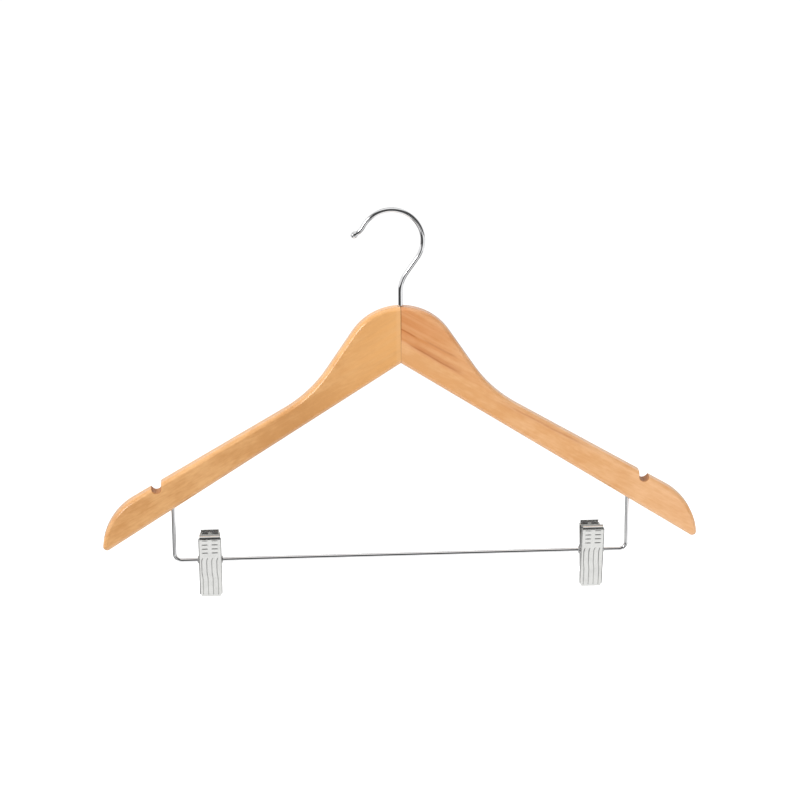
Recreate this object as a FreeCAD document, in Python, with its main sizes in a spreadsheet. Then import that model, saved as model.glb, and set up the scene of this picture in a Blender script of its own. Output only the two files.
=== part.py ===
"""Skirt hanger: two-piece wooden shoulders, a swivel hook, a wire clip bar and two sprung clips.

Frame: +Z up, +X to the hanger's right as it is looked at, the front faces -Y. The origin is on the hook's swivel
axis, level with the inside top of the hook, where the rail bears. Millimetres and degrees.
"""
import FreeCAD, Part
import math
import os

import Sketcher

SIZES = {
    # Shoulders, measured from the foot of the seam under the hook
    "overall_width": 445.0,
    "board_thickness": 12.0,
    "hook_drop": 70.0,
    "crown_rise": 42.5,
    "crown_radius": 42.7,
    "flank_angle": 56.0,
    "neck_radius": 96.5,
    "arm_top_angle": 30.3,
    "arm_top_offset": 14.0,
    "arm_under_angle": 32.7,
    "end_radius": 47.8,
    "tip_radius": 3.0,
    "edge_round": 2.6,
    # Strap notches
    "notch_inset": 41.0,
    "notch_width": 7.2,
    "notch_depth": 5.7,
    # Hidden tongue across the seam
    "tongue_length": 9.0,
    "tongue_thickness": 4.0,
    "tongue_foot": 3.0,
    "tongue_height": 35.0,
    "glue_gap": 0.05,
    # Hook
    "hook_wire": 3.6,
    "hook_radius": 22.9,
    "hook_offset": 6.5,
    "hook_lean": 35.1,
    "hook_bend_radius": 24.0,
    "flare_start": 151.5,
    "flare_turn": 38.0,
    "flare_radius": 13.9,
    "ball_radius": 2.6,
    "head_radius": 2.8,
    "head_height": 1.6,
    # Swivel in the crown
    "bush_radius": 3.0,
    "bush_length": 12.0,
    "bush_recess": 3.0,
    "stem_gap": 0.3,
    "washer_radius": 3.7,
    "washer_thickness": 0.8,
    "swivel_clearance": 0.08,
    "head_gap": 0.15,
    "chamber_gap": 1.2,
    "seat_gap": 0.05,
    # Clip bar
    "bar_wire": 3.0,
    "bar_inset": 53.0,
    "bar_drop": 150.6,
    "bar_bend_radius": 5.5,
    "bar_insertion": 12.0,
    "hole_end_gap": 0.5,
    # Clips, in the frame of a jaw plate that stands upright beside the bar
    "clip_inset": 26.5,
    "jaw_width": 17.0,
    "sheet_thickness": 0.7,
    "nest_gap": 0.15,
    "plate_stand": 8.0,
    "jaw_lean": 11.0,
    "handle_length": 23.0,
    "jaw_length": 27.5,
    "lip_depth": 4.0,
    "ear_radius": 4.2,
    "flange_split": 0.5,
    "relief_top": 12.5,
    "relief_bottom": 16.5,
    "relief_depth": 1.9,
    # Pressed pattern on the plates
    "emboss_depth": 0.25,
    "dash_length": 4.7,
    "dash_width": 0.8,
    "dash_spread": 7.4,
    "dash_columns": 2,
    "dash_rows": 4,
    "dash_pitch": 3.5,
    "dash_drop": 1.5,
    "groove_width": 0.7,
    "groove_pitch": 3.74,
    "groove_count": 4,
    "groove_first": 6.4,
    "groove_top": 6.4,
    "groove_bottom": 25.6,
    "groove_shift": 0.65,
    "shift_top": 5.8,
    "shift_bottom": 12.4,
    # Pivot tube, spring and linings
    "tube_radius": 2.2,
    "slide_clearance": 0.1,
    "pivot_clearance": 0.08,
    "rim_radius": 2.9,
    "rim_thickness": 0.8,
    "rim_gap": 0.15,
    "spring_width": 9.0,
    "spring_thickness": 0.5,
    "spring_gap": 0.3,
    "spring_reach": 15.0,
    "pad_height": 9.0,
    "pad_inset": 0.6,
    "pad_side_gap": 0.2,
    "pad_gap": 0.3,
}

SIDES = {"left": -1, "right": 1}

# Levels on the swivel axis
CREST = "-sizes.hook_drop"
SEAM_FOOT = f"({CREST} - sizes.crown_rise)"
BAR_LEVEL = f"({SEAM_FOOT} - sizes.bar_drop)"
BUSH_TOP = f"({CREST} - sizes.bush_recess)"
BUSH_FOOT = f"({BUSH_TOP} - sizes.bush_length)"
WASHER_FOOT = f"({BUSH_FOOT} - sizes.washer_thickness)"
HEAD_TOP = f"({WASHER_FOOT} - sizes.head_gap)"
HEAD_FOOT = f"({HEAD_TOP} - sizes.head_height)"
CHAMBER_FOOT = f"({HEAD_FOOT} - sizes.chamber_gap)"
HOOK_CENTRE = "-(sizes.hook_radius - sizes.hook_wire / 2)"

# Places along a shoulder: the notch and the bar's leg from its end, the clip from the leg
HALF_WIDTH = "(sizes.overall_width / 2)"
NOTCH_PLACE = f"({HALF_WIDTH} - sizes.notch_inset)"
LEG_PLACE = f"({HALF_WIDTH} - sizes.bar_inset)"
CLIP_PLACE = f"({LEG_PLACE} - sizes.clip_inset)"

# The top of the bar's legs, above the foot of the seam
LEG_TOP = f"(sizes.bar_insertion - {LEG_PLACE} * tan(sizes.arm_under_angle))"

# Clip widths: the back jaw nests between the front jaw's flanges
FRONT_WIDTH = "sizes.jaw_width"
BACK_WIDTH = "(sizes.jaw_width - 2 * sizes.sheet_thickness - 2 * sizes.nest_gap)"
PAD_WIDTH = f"({BACK_WIDTH} - 2 * sizes.sheet_thickness - 2 * sizes.pad_side_gap)"
PLATE_OUTER = "-sizes.plate_stand"
PLATE_INNER = "(sizes.sheet_thickness - sizes.plate_stand)"

doc = FreeCAD.newDocument("skirt_hanger")
sheet = doc.addObject("Spreadsheet::Sheet", "sizes")
for row, (alias, number) in enumerate(SIZES.items(), start=1):
    sheet.set(f"A{row}", alias)
    sheet.set(f"B{row}", str(number))
    sheet.setAlias(f"B{row}", alias)
doc.recompute()


def number_of(expression):
    """Work an expression on the sheet's sizes out to a plain number."""
    return float(sheet.evalExpression(expression))


def bind(target, **expressions):
    """Bind properties of an object; a double underscore in a name stands for the dot of a sub-property."""
    for name, expression in expressions.items():
        target.setExpression(name.replace("__", "."), expression)


def new_body(label, placement=None):
    """Start a body with its label and, if given, its bound placement."""
    body = doc.addObject("PartDesign::Body", label)
    body.Label = label
    if placement:
        bind(body, Placement=placement)
    return body


def origin_plane(body, role):
    """Find one of the body's own origin planes."""
    return next(item for item in body.Origin.OriginFeatures if item.Role == role)


def new_sketch(body, name, role, offset=None):
    """Attach a sketch to one of the body's origin planes, moved along its normal by the offset."""
    sketch = body.newObject("Sketcher::SketchObject", name)
    sketch.AttachmentSupport = [(origin_plane(body, role), "")]
    sketch.MapMode = "FlatFace"
    if offset:
        bind(sketch, AttachmentOffset__Base__z=offset)
    doc.recompute()
    return sketch


def constrain(sketch, kind, *places):
    """Add a geometric constraint."""
    sketch.addConstraint(Sketcher.Constraint(kind, *places))


def dimension(sketch, kind, *places, size):
    """Add a dimension that follows an expression."""
    start = number_of(size)
    if kind == "Angle":
        start = math.radians(start)
    index = sketch.addConstraint(Sketcher.Constraint(kind, *places, start))
    sketch.setExpression(f"Constraints[{index}]", size)


def place_point(sketch, geometry, point, across, up):
    """Fix a point's two coordinates; a coordinate of "0" puts it on the axis."""
    for kind, size, axis in (("DistanceX", across, -2), ("DistanceY", up, -1)):
        if size == "0":
            constrain(sketch, "PointOnObject", geometry, point, axis)
        else:
            dimension(sketch, kind, -1, 1, geometry, point, size=size)


def add_polygon(sketch, corners):
    """Draw a closed outline through corners given as pairs of expressions."""
    points = [FreeCAD.Vector(number_of(across), number_of(up), 0) for across, up in corners]
    ends = points[1:] + points[:1]
    lines = [sketch.addGeometry(Part.LineSegment(*pair)) for pair in zip(points, ends)]
    for line, following in zip(lines, lines[1:] + lines[:1]):
        constrain(sketch, "Coincident", line, 2, following, 1)
    for line, (across, up) in zip(lines, corners):
        place_point(sketch, line, 1, across, up)


def add_circle(sketch, across, up, radius):
    """Draw a circle with its centre and radius bound."""
    centre = FreeCAD.Vector(number_of(across), number_of(up), 0)
    circle = sketch.addGeometry(Part.Circle(centre, FreeCAD.Vector(0, 0, 1), number_of(radius)))
    place_point(sketch, circle, 3, across, up)
    dimension(sketch, "Radius", circle, size=radius)


def add_arc(sketch, centre, radius, start_angle, end_angle):
    """Draw an arc, anticlockwise from its start to its end angle in degrees."""
    circle = Part.Circle(centre, FreeCAD.Vector(0, 0, 1), radius)
    return sketch.addGeometry(Part.ArcOfCircle(circle, math.radians(start_angle), math.radians(end_angle)))


def polar(radius, angle):
    """Give the point of the sketch plane at a radius and an angle in degrees."""
    return FreeCAD.Vector(radius * math.cos(math.radians(angle)), radius * math.sin(math.radians(angle)), 0)


def pad(body, sketch, length):
    """Pad a sketch by equal amounts to both sides."""
    feature = body.newObject("PartDesign::Pad", "pad")
    feature.Profile = sketch
    feature.SideType = "Symmetric"
    bind(feature, Length=length)
    doc.recompute()
    return feature


def pocket(body, sketch, depth, side_type="Symmetric"):
    """Cut a sketch out of the body, and make sure that it took something away."""
    volume = body.Shape.Volume
    feature = body.newObject("PartDesign::Pocket", "pocket")
    feature.Profile = sketch
    feature.SideType = side_type
    bind(feature, Length=depth)
    doc.recompute()
    if body.Shape.Volume >= volume:
        raise RuntimeError(f"{body.Label}: {sketch.Label} cuts nothing")
    return feature


def pattern(body, original, sketch, across, up=None):
    """Repeat a feature along the sketch's axes; each direction is a pair of count and spacing expressions."""
    volume = body.Shape.Volume
    feature = body.newObject("PartDesign::LinearPattern", "pattern")
    feature.Originals = [original]
    feature.Direction = (sketch, ["H_Axis"])
    feature.Mode = "Spacing"
    bind(feature, Occurrences=across[0], Offset=across[1])
    if up:
        feature.Direction2 = (sketch, ["V_Axis"])
        feature.Mode2 = "Spacing"
        feature.Reversed2 = True
        bind(feature, Occurrences2=up[0], Offset2=up[1])
    body.Tip = feature
    doc.recompute()
    if body.Shape.Volume >= volume:
        raise RuntimeError(f"{body.Label}: the pattern of {original.Label} cuts nothing")


def mirror(body, original, role):
    """Add the mirror image of a feature across one of the body's origin planes."""
    feature = body.newObject("PartDesign::Mirrored", "mirrored")
    feature.Originals = [original]
    feature.MirrorPlane = (origin_plane(body, role), [""])
    body.Tip = feature
    doc.recompute()


def fillet(body, base, radius, wanted):
    """Round the edges of a feature for which the test on an edge is true."""
    names = [f"Edge{index}" for index, edge in enumerate(base.Shape.Edges, start=1) if wanted(edge)]
    feature = body.newObject("PartDesign::Fillet", "fillet")
    feature.Base = (base, names)
    bind(feature, Radius=radius)
    doc.recompute()
    return feature


def sweep(body, profile, path):
    """Sweep a profile sketch along a path sketch."""
    feature = body.newObject("PartDesign::AdditivePipe", "pipe")
    feature.Profile = profile
    feature.Spine = path
    doc.recompute()
    return feature


def boolean(kind, label, base, tool):
    """Cut or fuse two objects."""
    feature = doc.addObject(f"Part::{kind}", label)
    feature.Label = label
    feature.Base = base
    feature.Tool = tool
    return feature


def upright_cylinder(label, radius, foot, top):
    """Make a cylinder on the swivel axis between two levels."""
    cylinder = doc.addObject("Part::Cylinder", label)
    bind(cylinder, Radius=radius, Height=f"{top} - {foot}", Placement__Base__z=foot)
    return cylinder


def upright_ring(label, outer, inner, foot, top):
    """Make a ring on the swivel axis between two levels."""
    solid = upright_cylinder(f"{label}_solid", outer, foot, top)
    hole = upright_cylinder(f"{label}_hole", inner, foot, top)
    return boolean("Cut", label, solid, hole)


def outline_points():
    """Work out the tangent points and arc centres of the right shoulder's outline.

    They start the sketch close to its constrained shape.
    """
    size = {alias: number_of(f"sizes.{alias}") for alias in SIZES}
    half = size["overall_width"] / 2
    flank = math.radians(size["flank_angle"])
    top = math.radians(size["arm_top_angle"])
    under = math.radians(size["arm_under_angle"])
    flank_way = FreeCAD.Vector(math.cos(flank), -math.sin(flank), 0)
    top_way = FreeCAD.Vector(math.cos(top), -math.sin(top), 0)
    top_normal = FreeCAD.Vector(math.sin(top), math.cos(top), 0)
    under_way = FreeCAD.Vector(math.cos(under), -math.sin(under), 0)
    under_normal = FreeCAD.Vector(math.sin(under), math.cos(under), 0)
    top_start = FreeCAD.Vector(0, size["arm_top_offset"] / math.cos(top), 0)

    crown_centre = FreeCAD.Vector(0, size["crown_rise"] - size["crown_radius"], 0)
    crown_end = crown_centre + polar(size["crown_radius"], 90 - size["flank_angle"])
    to_crown = crown_end - top_start
    along_flank = -(to_crown * top_normal) / (flank_way * top_normal)
    neck_corner = crown_end + flank_way * along_flank
    neck_tangent = size["neck_radius"] * math.tan((flank - top) / 2)
    neck_start = neck_corner - flank_way * neck_tangent
    neck_end = neck_corner + top_way * neck_tangent
    neck_centre = neck_end + top_normal * size["neck_radius"]

    end_centre_across = half - size["end_radius"]
    end_start_across = end_centre_across + size["end_radius"] * math.sin(top)
    end_start = top_start + top_way * (end_start_across / math.cos(top))
    end_centre = end_start - top_normal * size["end_radius"]

    tip_base = under_normal * size["tip_radius"]
    from_end = tip_base - end_centre
    half_linear = from_end * under_way
    reach = size["end_radius"] - size["tip_radius"]
    tip_along = -half_linear + math.sqrt(half_linear**2 - from_end * from_end + reach**2)
    tip_centre = tip_base + under_way * tip_along
    to_tip = tip_centre - end_centre
    return {
        "crown_centre": crown_centre,
        "crown_end": crown_end,
        "neck_start": neck_start,
        "neck_end": neck_end,
        "neck_centre": neck_centre,
        "end_start": end_start,
        "end_centre": end_centre,
        "tip_centre": tip_centre,
        "tip_end": under_way * tip_along,
        "tip_angle": math.degrees(math.atan2(to_tip.y, to_tip.x)),
    }


def draw_outline(sketch):
    """Draw the right shoulder's outline: crown, flank, neck, arm top, round end, tip and straight underside."""
    at = outline_points()
    size = {alias: number_of(f"sizes.{alias}") for alias in SIZES}
    foot = FreeCAD.Vector(0, 0, 0)
    crest = FreeCAD.Vector(0, size["crown_rise"], 0)
    seam = sketch.addGeometry(Part.LineSegment(foot, crest))
    crown = add_arc(sketch, at["crown_centre"], size["crown_radius"], 90 - size["flank_angle"], 90)
    flank = sketch.addGeometry(Part.LineSegment(at["crown_end"], at["neck_start"]))
    neck = add_arc(sketch, at["neck_centre"], size["neck_radius"],
                   270 - size["flank_angle"], 270 - size["arm_top_angle"])
    arm_top = sketch.addGeometry(Part.LineSegment(at["neck_end"], at["end_start"]))
    end = add_arc(sketch, at["end_centre"], size["end_radius"], at["tip_angle"], 90 - size["arm_top_angle"])
    tip = add_arc(sketch, at["tip_centre"], size["tip_radius"],
                  -90 - size["arm_under_angle"], at["tip_angle"])
    under = sketch.addGeometry(Part.LineSegment(foot, at["tip_end"]))

    constrain(sketch, "Coincident", seam, 1, -1, 1)
    constrain(sketch, "Vertical", seam)
    constrain(sketch, "Coincident", seam, 2, crown, 2)
    constrain(sketch, "PointOnObject", crown, 3, -2)
    constrain(sketch, "Tangent", crown, 1, flank, 1)
    constrain(sketch, "Tangent", flank, 2, neck, 1)
    constrain(sketch, "Tangent", neck, 2, arm_top, 1)
    constrain(sketch, "Tangent", arm_top, 2, end, 2)
    constrain(sketch, "Tangent", end, 1, tip, 2)
    constrain(sketch, "Tangent", tip, 1, under, 2)
    constrain(sketch, "Coincident", under, 1, seam, 1)
    dimension(sketch, "DistanceY", seam, 1, seam, 2, size="sizes.crown_rise")
    dimension(sketch, "Radius", crown, size="sizes.crown_radius")
    dimension(sketch, "Radius", neck, size="sizes.neck_radius")
    dimension(sketch, "Radius", end, size="sizes.end_radius")
    dimension(sketch, "Radius", tip, size="sizes.tip_radius")
    dimension(sketch, "Angle", flank, size="-sizes.flank_angle")
    dimension(sketch, "Angle", arm_top, size="-sizes.arm_top_angle")
    dimension(sketch, "Angle", under, size="-sizes.arm_under_angle")
    dimension(sketch, "Distance", seam, 1, arm_top, size="sizes.arm_top_offset")
    dimension(sketch, "DistanceX", -1, 1, end, 3, size=f"{HALF_WIDTH} - sizes.end_radius")
    doc.recompute()


def on_rounded_edge(edge):
    """Tell an outline edge of the front or back face from the edges across the board and along the seam."""
    depths = [vertex.Point.y for vertex in edge.Vertexes]
    lies_on_face = abs(depths[0] - depths[-1]) < 0.01
    lies_on_seam = all(abs(vertex.Point.x) < 0.01 for vertex in edge.Vertexes)
    return lies_on_face and not lies_on_seam


def make_shoulder_blank():
    """Shape the right shoulder: sawn outline, rounded edges, strap notch and the blind hole for the bar."""
    body = new_body("shoulder_blank", f"placement(vector(0; 0; {SEAM_FOOT}); rotationx(0))")
    outline = new_sketch(body, "shoulder_outline", "XZ_Plane")
    draw_outline(outline)
    board = pad(body, outline, "sizes.board_thickness")
    fillet(body, board, "sizes.edge_round", on_rounded_edge)

    # The notch is a slot with a round floor, open at the top of the arm
    notch = new_sketch(body, "strap_notch", "XZ_Plane")
    inner = f"{NOTCH_PLACE} - sizes.notch_width / 2"
    outer = f"{NOTCH_PLACE} + sizes.notch_width / 2"
    arm_top = f"sizes.arm_top_offset / cos(sizes.arm_top_angle) - {NOTCH_PLACE} * tan(sizes.arm_top_angle)"
    spring_line = f"{arm_top} - sizes.notch_depth + sizes.notch_width / 2"
    mouth = f"{arm_top} + sizes.notch_width"
    add_polygon(notch, [(inner, spring_line), (outer, spring_line), (outer, mouth), (inner, mouth)])
    pocket(body, notch, "2 * sizes.board_thickness")
    floor = new_sketch(body, "notch_floor", "XZ_Plane")
    add_circle(floor, NOTCH_PLACE, spring_line, "sizes.notch_width / 2")
    pocket(body, floor, "2 * sizes.board_thickness")

    hole = new_sketch(body, "bar_hole", "XY_Plane", offset=f"{LEG_TOP} + sizes.hole_end_gap")
    add_circle(hole, LEG_PLACE, "0", "sizes.bar_wire / 2 + sizes.seat_gap")
    pocket(body, hole, "sizes.bar_insertion + sizes.hole_end_gap + sizes.bar_wire", side_type="One side")
    return body


def tongue_block(label, gap):
    """Make the block of the seam's tongue, or of its groove when a gap is given."""
    block = doc.addObject("Part::Box", label)
    bind(block,
         Length=f"sizes.tongue_length + {gap}",
         Width=f"sizes.tongue_thickness + 2 * {gap}",
         Height=f"sizes.tongue_height + 2 * {gap}",
         Placement__Base__y=f"-sizes.tongue_thickness / 2 - {gap}",
         Placement__Base__z=f"{SEAM_FOOT} + sizes.tongue_foot - {gap}")
    return block


def make_shoulders():
    """Make both shoulders from the blank, with the seam's tongue on the left one, and bore them for the swivel."""
    blank = make_shoulder_blank()
    mirrored = doc.addObject("Part::Mirroring", "left_blank")
    mirrored.Source = blank
    mirrored.Normal = FreeCAD.Vector(1, 0, 0)
    stem_hole = upright_cylinder("stem_hole", "sizes.hook_wire / 2 + sizes.stem_gap", BUSH_FOOT, "0")
    bush_bore = upright_cylinder("bush_bore", "sizes.bush_radius + sizes.seat_gap", BUSH_FOOT,
                                 f"({BUSH_TOP} + sizes.seat_gap)")
    chamber = upright_cylinder("head_chamber", "sizes.washer_radius + sizes.seat_gap", CHAMBER_FOOT, BUSH_FOOT)
    bore = boolean("Fuse", "swivel_bore", boolean("Fuse", "bush_seat", bush_bore, chamber), stem_hole)
    tongued = boolean("Fuse", "tongued_blank", mirrored, tongue_block("seam_tongue", "0"))
    grooved = boolean("Cut", "grooved_blank", blank, tongue_block("seam_groove", "sizes.glue_gap"))
    return [boolean("Cut", "left_shoulder", tongued, bore), boolean("Cut", "right_shoulder", grooved, bore)]


def draw_hook_path(sketch):
    """Draw the hook's centre line: stem, bend, lean, hook circle and the flare at its free end."""
    size = {alias: number_of(f"sizes.{alias}") for alias in SIZES}
    centre = FreeCAD.Vector(-size["hook_offset"], number_of(HOOK_CENTRE), 0)
    lean_end = centre + polar(size["hook_radius"], -size["hook_lean"])
    lean_way = polar(1, 90 - size["hook_lean"])
    corner = lean_end - lean_way * (lean_end.x / lean_way.x)
    bend_tangent = size["hook_bend_radius"] * math.tan(math.radians(size["hook_lean"] / 2))
    stem_end = corner - FreeCAD.Vector(0, bend_tangent, 0)
    lean_start = corner + lean_way * bend_tangent
    bend_centre = stem_end + FreeCAD.Vector(size["hook_bend_radius"], 0, 0)
    flare_centre = centre + polar(size["hook_radius"] + size["flare_radius"], size["flare_start"])
    flare_joint = size["flare_start"] + 180

    stem = sketch.addGeometry(Part.LineSegment(FreeCAD.Vector(0, number_of(HEAD_FOOT), 0), stem_end))
    bend = add_arc(sketch, bend_centre, size["hook_bend_radius"], 180 - size["hook_lean"], 180)
    lean = sketch.addGeometry(Part.LineSegment(lean_start, lean_end))
    loop = add_arc(sketch, centre, size["hook_radius"], -size["hook_lean"], size["flare_start"])
    flare = add_arc(sketch, flare_centre, size["flare_radius"], flare_joint - size["flare_turn"], flare_joint)

    place_point(sketch, stem, 1, "0", HEAD_FOOT)
    constrain(sketch, "Vertical", stem)
    constrain(sketch, "Tangent", stem, 2, bend, 2)
    constrain(sketch, "Tangent", bend, 1, lean, 1)
    constrain(sketch, "Tangent", lean, 2, loop, 1)
    constrain(sketch, "Tangent", loop, 2, flare, 2)
    place_point(sketch, loop, 3, "-sizes.hook_offset", HOOK_CENTRE)
    dimension(sketch, "Radius", bend, size="sizes.hook_bend_radius")
    dimension(sketch, "Radius", loop, size="sizes.hook_radius")
    dimension(sketch, "Radius", flare, size="sizes.flare_radius")
    dimension(sketch, "Angle", lean, size="90 - sizes.hook_lean")
    dimension(sketch, "DistanceY", loop, 3, loop, 2, size="sizes.hook_radius * sin(sizes.flare_start)")
    dimension(sketch, "DistanceX", flare, 3, flare, 1,
              size="sizes.flare_radius * cos(sizes.flare_start + 180 - sizes.flare_turn)")
    doc.recompute()


def make_hook():
    """Bend the hook from one wire, with the ball on its free end and the head that keeps it in the crown."""
    body = new_body("hook_bent_wire")
    path = new_sketch(body, "hook_path", "XZ_Plane")
    draw_hook_path(path)
    section = new_sketch(body, "hook_section", "XY_Plane", offset=HEAD_FOOT)
    add_circle(section, "0", "0", "sizes.hook_wire / 2")
    sweep(body, section, path)

    flare_reach = "(sizes.hook_radius + sizes.flare_radius)"
    free_end = "(sizes.flare_start + 180 - sizes.flare_turn)"
    ball = doc.addObject("Part::Sphere", "hook_ball")
    bind(ball,
         Radius="sizes.ball_radius",
         Placement__Base__x=f"-sizes.hook_offset + {flare_reach} * cos(sizes.flare_start)"
                            f" + sizes.flare_radius * cos({free_end})",
         Placement__Base__z=f"{HOOK_CENTRE} + {flare_reach} * sin(sizes.flare_start)"
                            f" + sizes.flare_radius * sin({free_end})")
    head = upright_cylinder("hook_head", "sizes.head_radius", HEAD_FOOT, HEAD_TOP)
    hook = doc.addObject("Part::MultiFuse", "hook_wire")
    hook.Label = "hook_wire"
    hook.Shapes = [body, ball, head]
    return hook


def make_swivel():
    """Make the sleeve that the hook turns in and the washer that its head pulls on."""
    running_hole = "sizes.hook_wire / 2 + sizes.swivel_clearance"
    return [
        upright_ring("swivel_bush", "sizes.bush_radius", running_hole, BUSH_FOOT, BUSH_TOP),
        upright_ring("swivel_washer", "sizes.washer_radius", running_hole, WASHER_FOOT, BUSH_FOOT),
    ]


def make_clip_bar():
    """Bend the clip bar: half of it along the bar and up one leg, and its mirror image."""
    body = new_body("clip_bar", f"placement(vector(0; 0; {BAR_LEVEL}); rotationx(0))")
    path = new_sketch(body, "bar_path", "XZ_Plane")
    span = number_of(LEG_PLACE)
    radius = number_of("sizes.bar_bend_radius")
    leg_top = f"sizes.bar_drop + {LEG_TOP}"
    bar = path.addGeometry(Part.LineSegment(FreeCAD.Vector(0, 0, 0), FreeCAD.Vector(span - radius, 0, 0)))
    bend = add_arc(path, FreeCAD.Vector(span - radius, radius, 0), radius, -90, 0)
    leg = path.addGeometry(
        Part.LineSegment(FreeCAD.Vector(span, radius, 0), FreeCAD.Vector(span, number_of(leg_top), 0)))
    constrain(path, "Coincident", bar, 1, -1, 1)
    constrain(path, "Horizontal", bar)
    constrain(path, "Vertical", leg)
    constrain(path, "Tangent", bar, 2, bend, 1)
    constrain(path, "Tangent", bend, 2, leg, 1)
    dimension(path, "Radius", bend, size="sizes.bar_bend_radius")
    place_point(path, leg, 2, LEG_PLACE, leg_top)
    section = new_sketch(body, "bar_section", "YZ_Plane")
    add_circle(section, "0", "0", "sizes.bar_wire / 2")
    mirror(body, sweep(body, section, path), "YZ_Plane")
    return body


def clip_placement(side, turn):
    """Give the placement of a clip piece on the bar, turned about it."""
    return f"placement(vector({SIDES[side]} * {CLIP_PLACE}; 0; {BAR_LEVEL}); {turn})"


# The front jaw leans outwards at the top, and the back jaw is turned round to face it
FRONT_TURN = "rotationx(sizes.jaw_lean)"
BACK_TURN = "rotationz(180) * rotationx(sizes.jaw_lean)"


def free_edge(level):
    """Give the place of a flange's free edge at a level below the bar: beside the clip's middle plane."""
    return f"-{level} * tan(sizes.jaw_lean) - sizes.flange_split"


def make_jaw(label, placement, width):
    """Press one jaw: a plate with a turned-in lip, side flanges with ears, pivot holes and the pressed pattern."""
    body = new_body(label, placement)
    lip_end = "sizes.lip_depth - sizes.plate_stand"
    lip_level = "sizes.handle_length - sizes.lip_depth * tan(sizes.jaw_lean)"
    side = new_sketch(body, "side_outline", "YZ_Plane")
    add_polygon(side, [
        (PLATE_OUTER, "sizes.handle_length"),
        (lip_end, lip_level),
        ("0", "sizes.ear_radius"),
        ("0", "-sizes.ear_radius"),
        (free_edge("sizes.relief_top"), "-sizes.relief_top"),
        (f"{free_edge('sizes.relief_top')} - sizes.relief_depth", "-sizes.relief_top"),
        (f"{free_edge('sizes.relief_bottom')} - sizes.relief_depth", "-sizes.relief_bottom"),
        (free_edge("sizes.relief_bottom"), "-sizes.relief_bottom"),
        (free_edge("sizes.jaw_length"), "-sizes.jaw_length"),
        (PLATE_OUTER, "-sizes.jaw_length"),
    ])
    pad(body, side, width)
    ears = new_sketch(body, "ears", "YZ_Plane")
    add_circle(ears, "0", "0", "sizes.ear_radius")
    block = pad(body, ears, width)

    # The bends of the sheet: both sides of the plate and the lip
    outer_face = -number_of("sizes.plate_stand")
    half_width = number_of(width) / 2
    top = number_of("sizes.handle_length")

    def is_bend(edge):
        on_plate = all(abs(vertex.Point.y - outer_face) < 0.01 for vertex in edge.Vertexes)
        on_side = all(abs(abs(vertex.Point.x) - half_width) < 0.01 for vertex in edge.Vertexes)
        on_top = all(abs(vertex.Point.z - top) < 0.01 for vertex in edge.Vertexes)
        upright = edge.BoundBox.XLength < 0.01
        return on_plate and ((on_side and upright) or on_top)

    fillet(body, block, "sizes.sheet_thickness", is_bend)

    # Hollow the block to the sheet's thickness, open towards the other jaw
    inside = new_sketch(body, "inside", "YZ_Plane")
    far = "sizes.ear_radius + sizes.sheet_thickness"
    lip_under = "sizes.handle_length - sizes.sheet_thickness / cos(sizes.jaw_lean)"
    below = "-sizes.jaw_length - sizes.sheet_thickness"
    add_polygon(inside, [
        (PLATE_INNER, f"{lip_under} - sizes.sheet_thickness * tan(sizes.jaw_lean)"),
        (far, f"{lip_under} - (sizes.plate_stand + {far}) * tan(sizes.jaw_lean)"),
        (far, below),
        (PLATE_INNER, below),
    ])
    pocket(body, inside, f"{width} - 2 * sizes.sheet_thickness")
    holes = new_sketch(body, "pivot_holes", "YZ_Plane")
    add_circle(holes, "0", "0", "sizes.tube_radius + sizes.pivot_clearance")
    pocket(body, holes, f"2 * {width}")

    press_pattern(body)
    return body


def press_pattern(body):
    """Press the two columns of short bars and the long grooves with their gentle sideways shift."""
    dash = new_sketch(body, "pressed_bar", "XZ_Plane", offset="sizes.plate_stand")
    left = "-(sizes.dash_spread + sizes.dash_length) / 2"
    right = "(sizes.dash_length - sizes.dash_spread) / 2"
    top = "sizes.handle_length - sizes.dash_drop"
    add_polygon(dash, [(left, f"{top} - sizes.dash_width"), (right, f"{top} - sizes.dash_width"),
                       (right, top), (left, top)])
    first_dash = pocket(body, dash, "sizes.emboss_depth", side_type="One side")
    pattern(body, first_dash, dash, ("sizes.dash_columns", "sizes.dash_spread"),
            ("sizes.dash_rows", "sizes.dash_pitch"))

    groove = new_sketch(body, "pressed_groove", "XZ_Plane", offset="sizes.plate_stand")
    left = "-sizes.groove_first - sizes.groove_width / 2"
    right = "-sizes.groove_first + sizes.groove_width / 2"
    add_polygon(groove, [
        (left, "sizes.groove_top"),
        (left, "-sizes.shift_top"),
        (f"{left} + sizes.groove_shift", "-sizes.shift_bottom"),
        (f"{left} + sizes.groove_shift", "-sizes.groove_bottom"),
        (f"{right} + sizes.groove_shift", "-sizes.groove_bottom"),
        (f"{right} + sizes.groove_shift", "-sizes.shift_bottom"),
        (right, "-sizes.shift_top"),
        (right, "sizes.groove_top"),
    ])
    first_groove = pocket(body, groove, "sizes.emboss_depth", side_type="One side")
    pattern(body, first_groove, groove, ("sizes.groove_count", "sizes.groove_pitch"))


def make_pad(label, placement):
    """Mould a jaw's lining: a wedge between the plate and the clip's middle plane."""
    body = new_body(label, placement)
    outline = new_sketch(body, "lining", "YZ_Plane")
    low = "(sizes.jaw_length - sizes.pad_inset)"
    high = f"({low} - sizes.pad_height)"
    grip = "sizes.pad_gap / 2 / cos(sizes.jaw_lean)"
    add_polygon(outline, [
        (PLATE_INNER, f"-{low}"),
        (f"-{low} * tan(sizes.jaw_lean) - {grip}", f"-{low}"),
        (f"-{high} * tan(sizes.jaw_lean) - {grip}", f"-{high}"),
        (PLATE_INNER, f"-{high}"),
    ])
    pad(body, outline, PAD_WIDTH)
    return body


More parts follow.
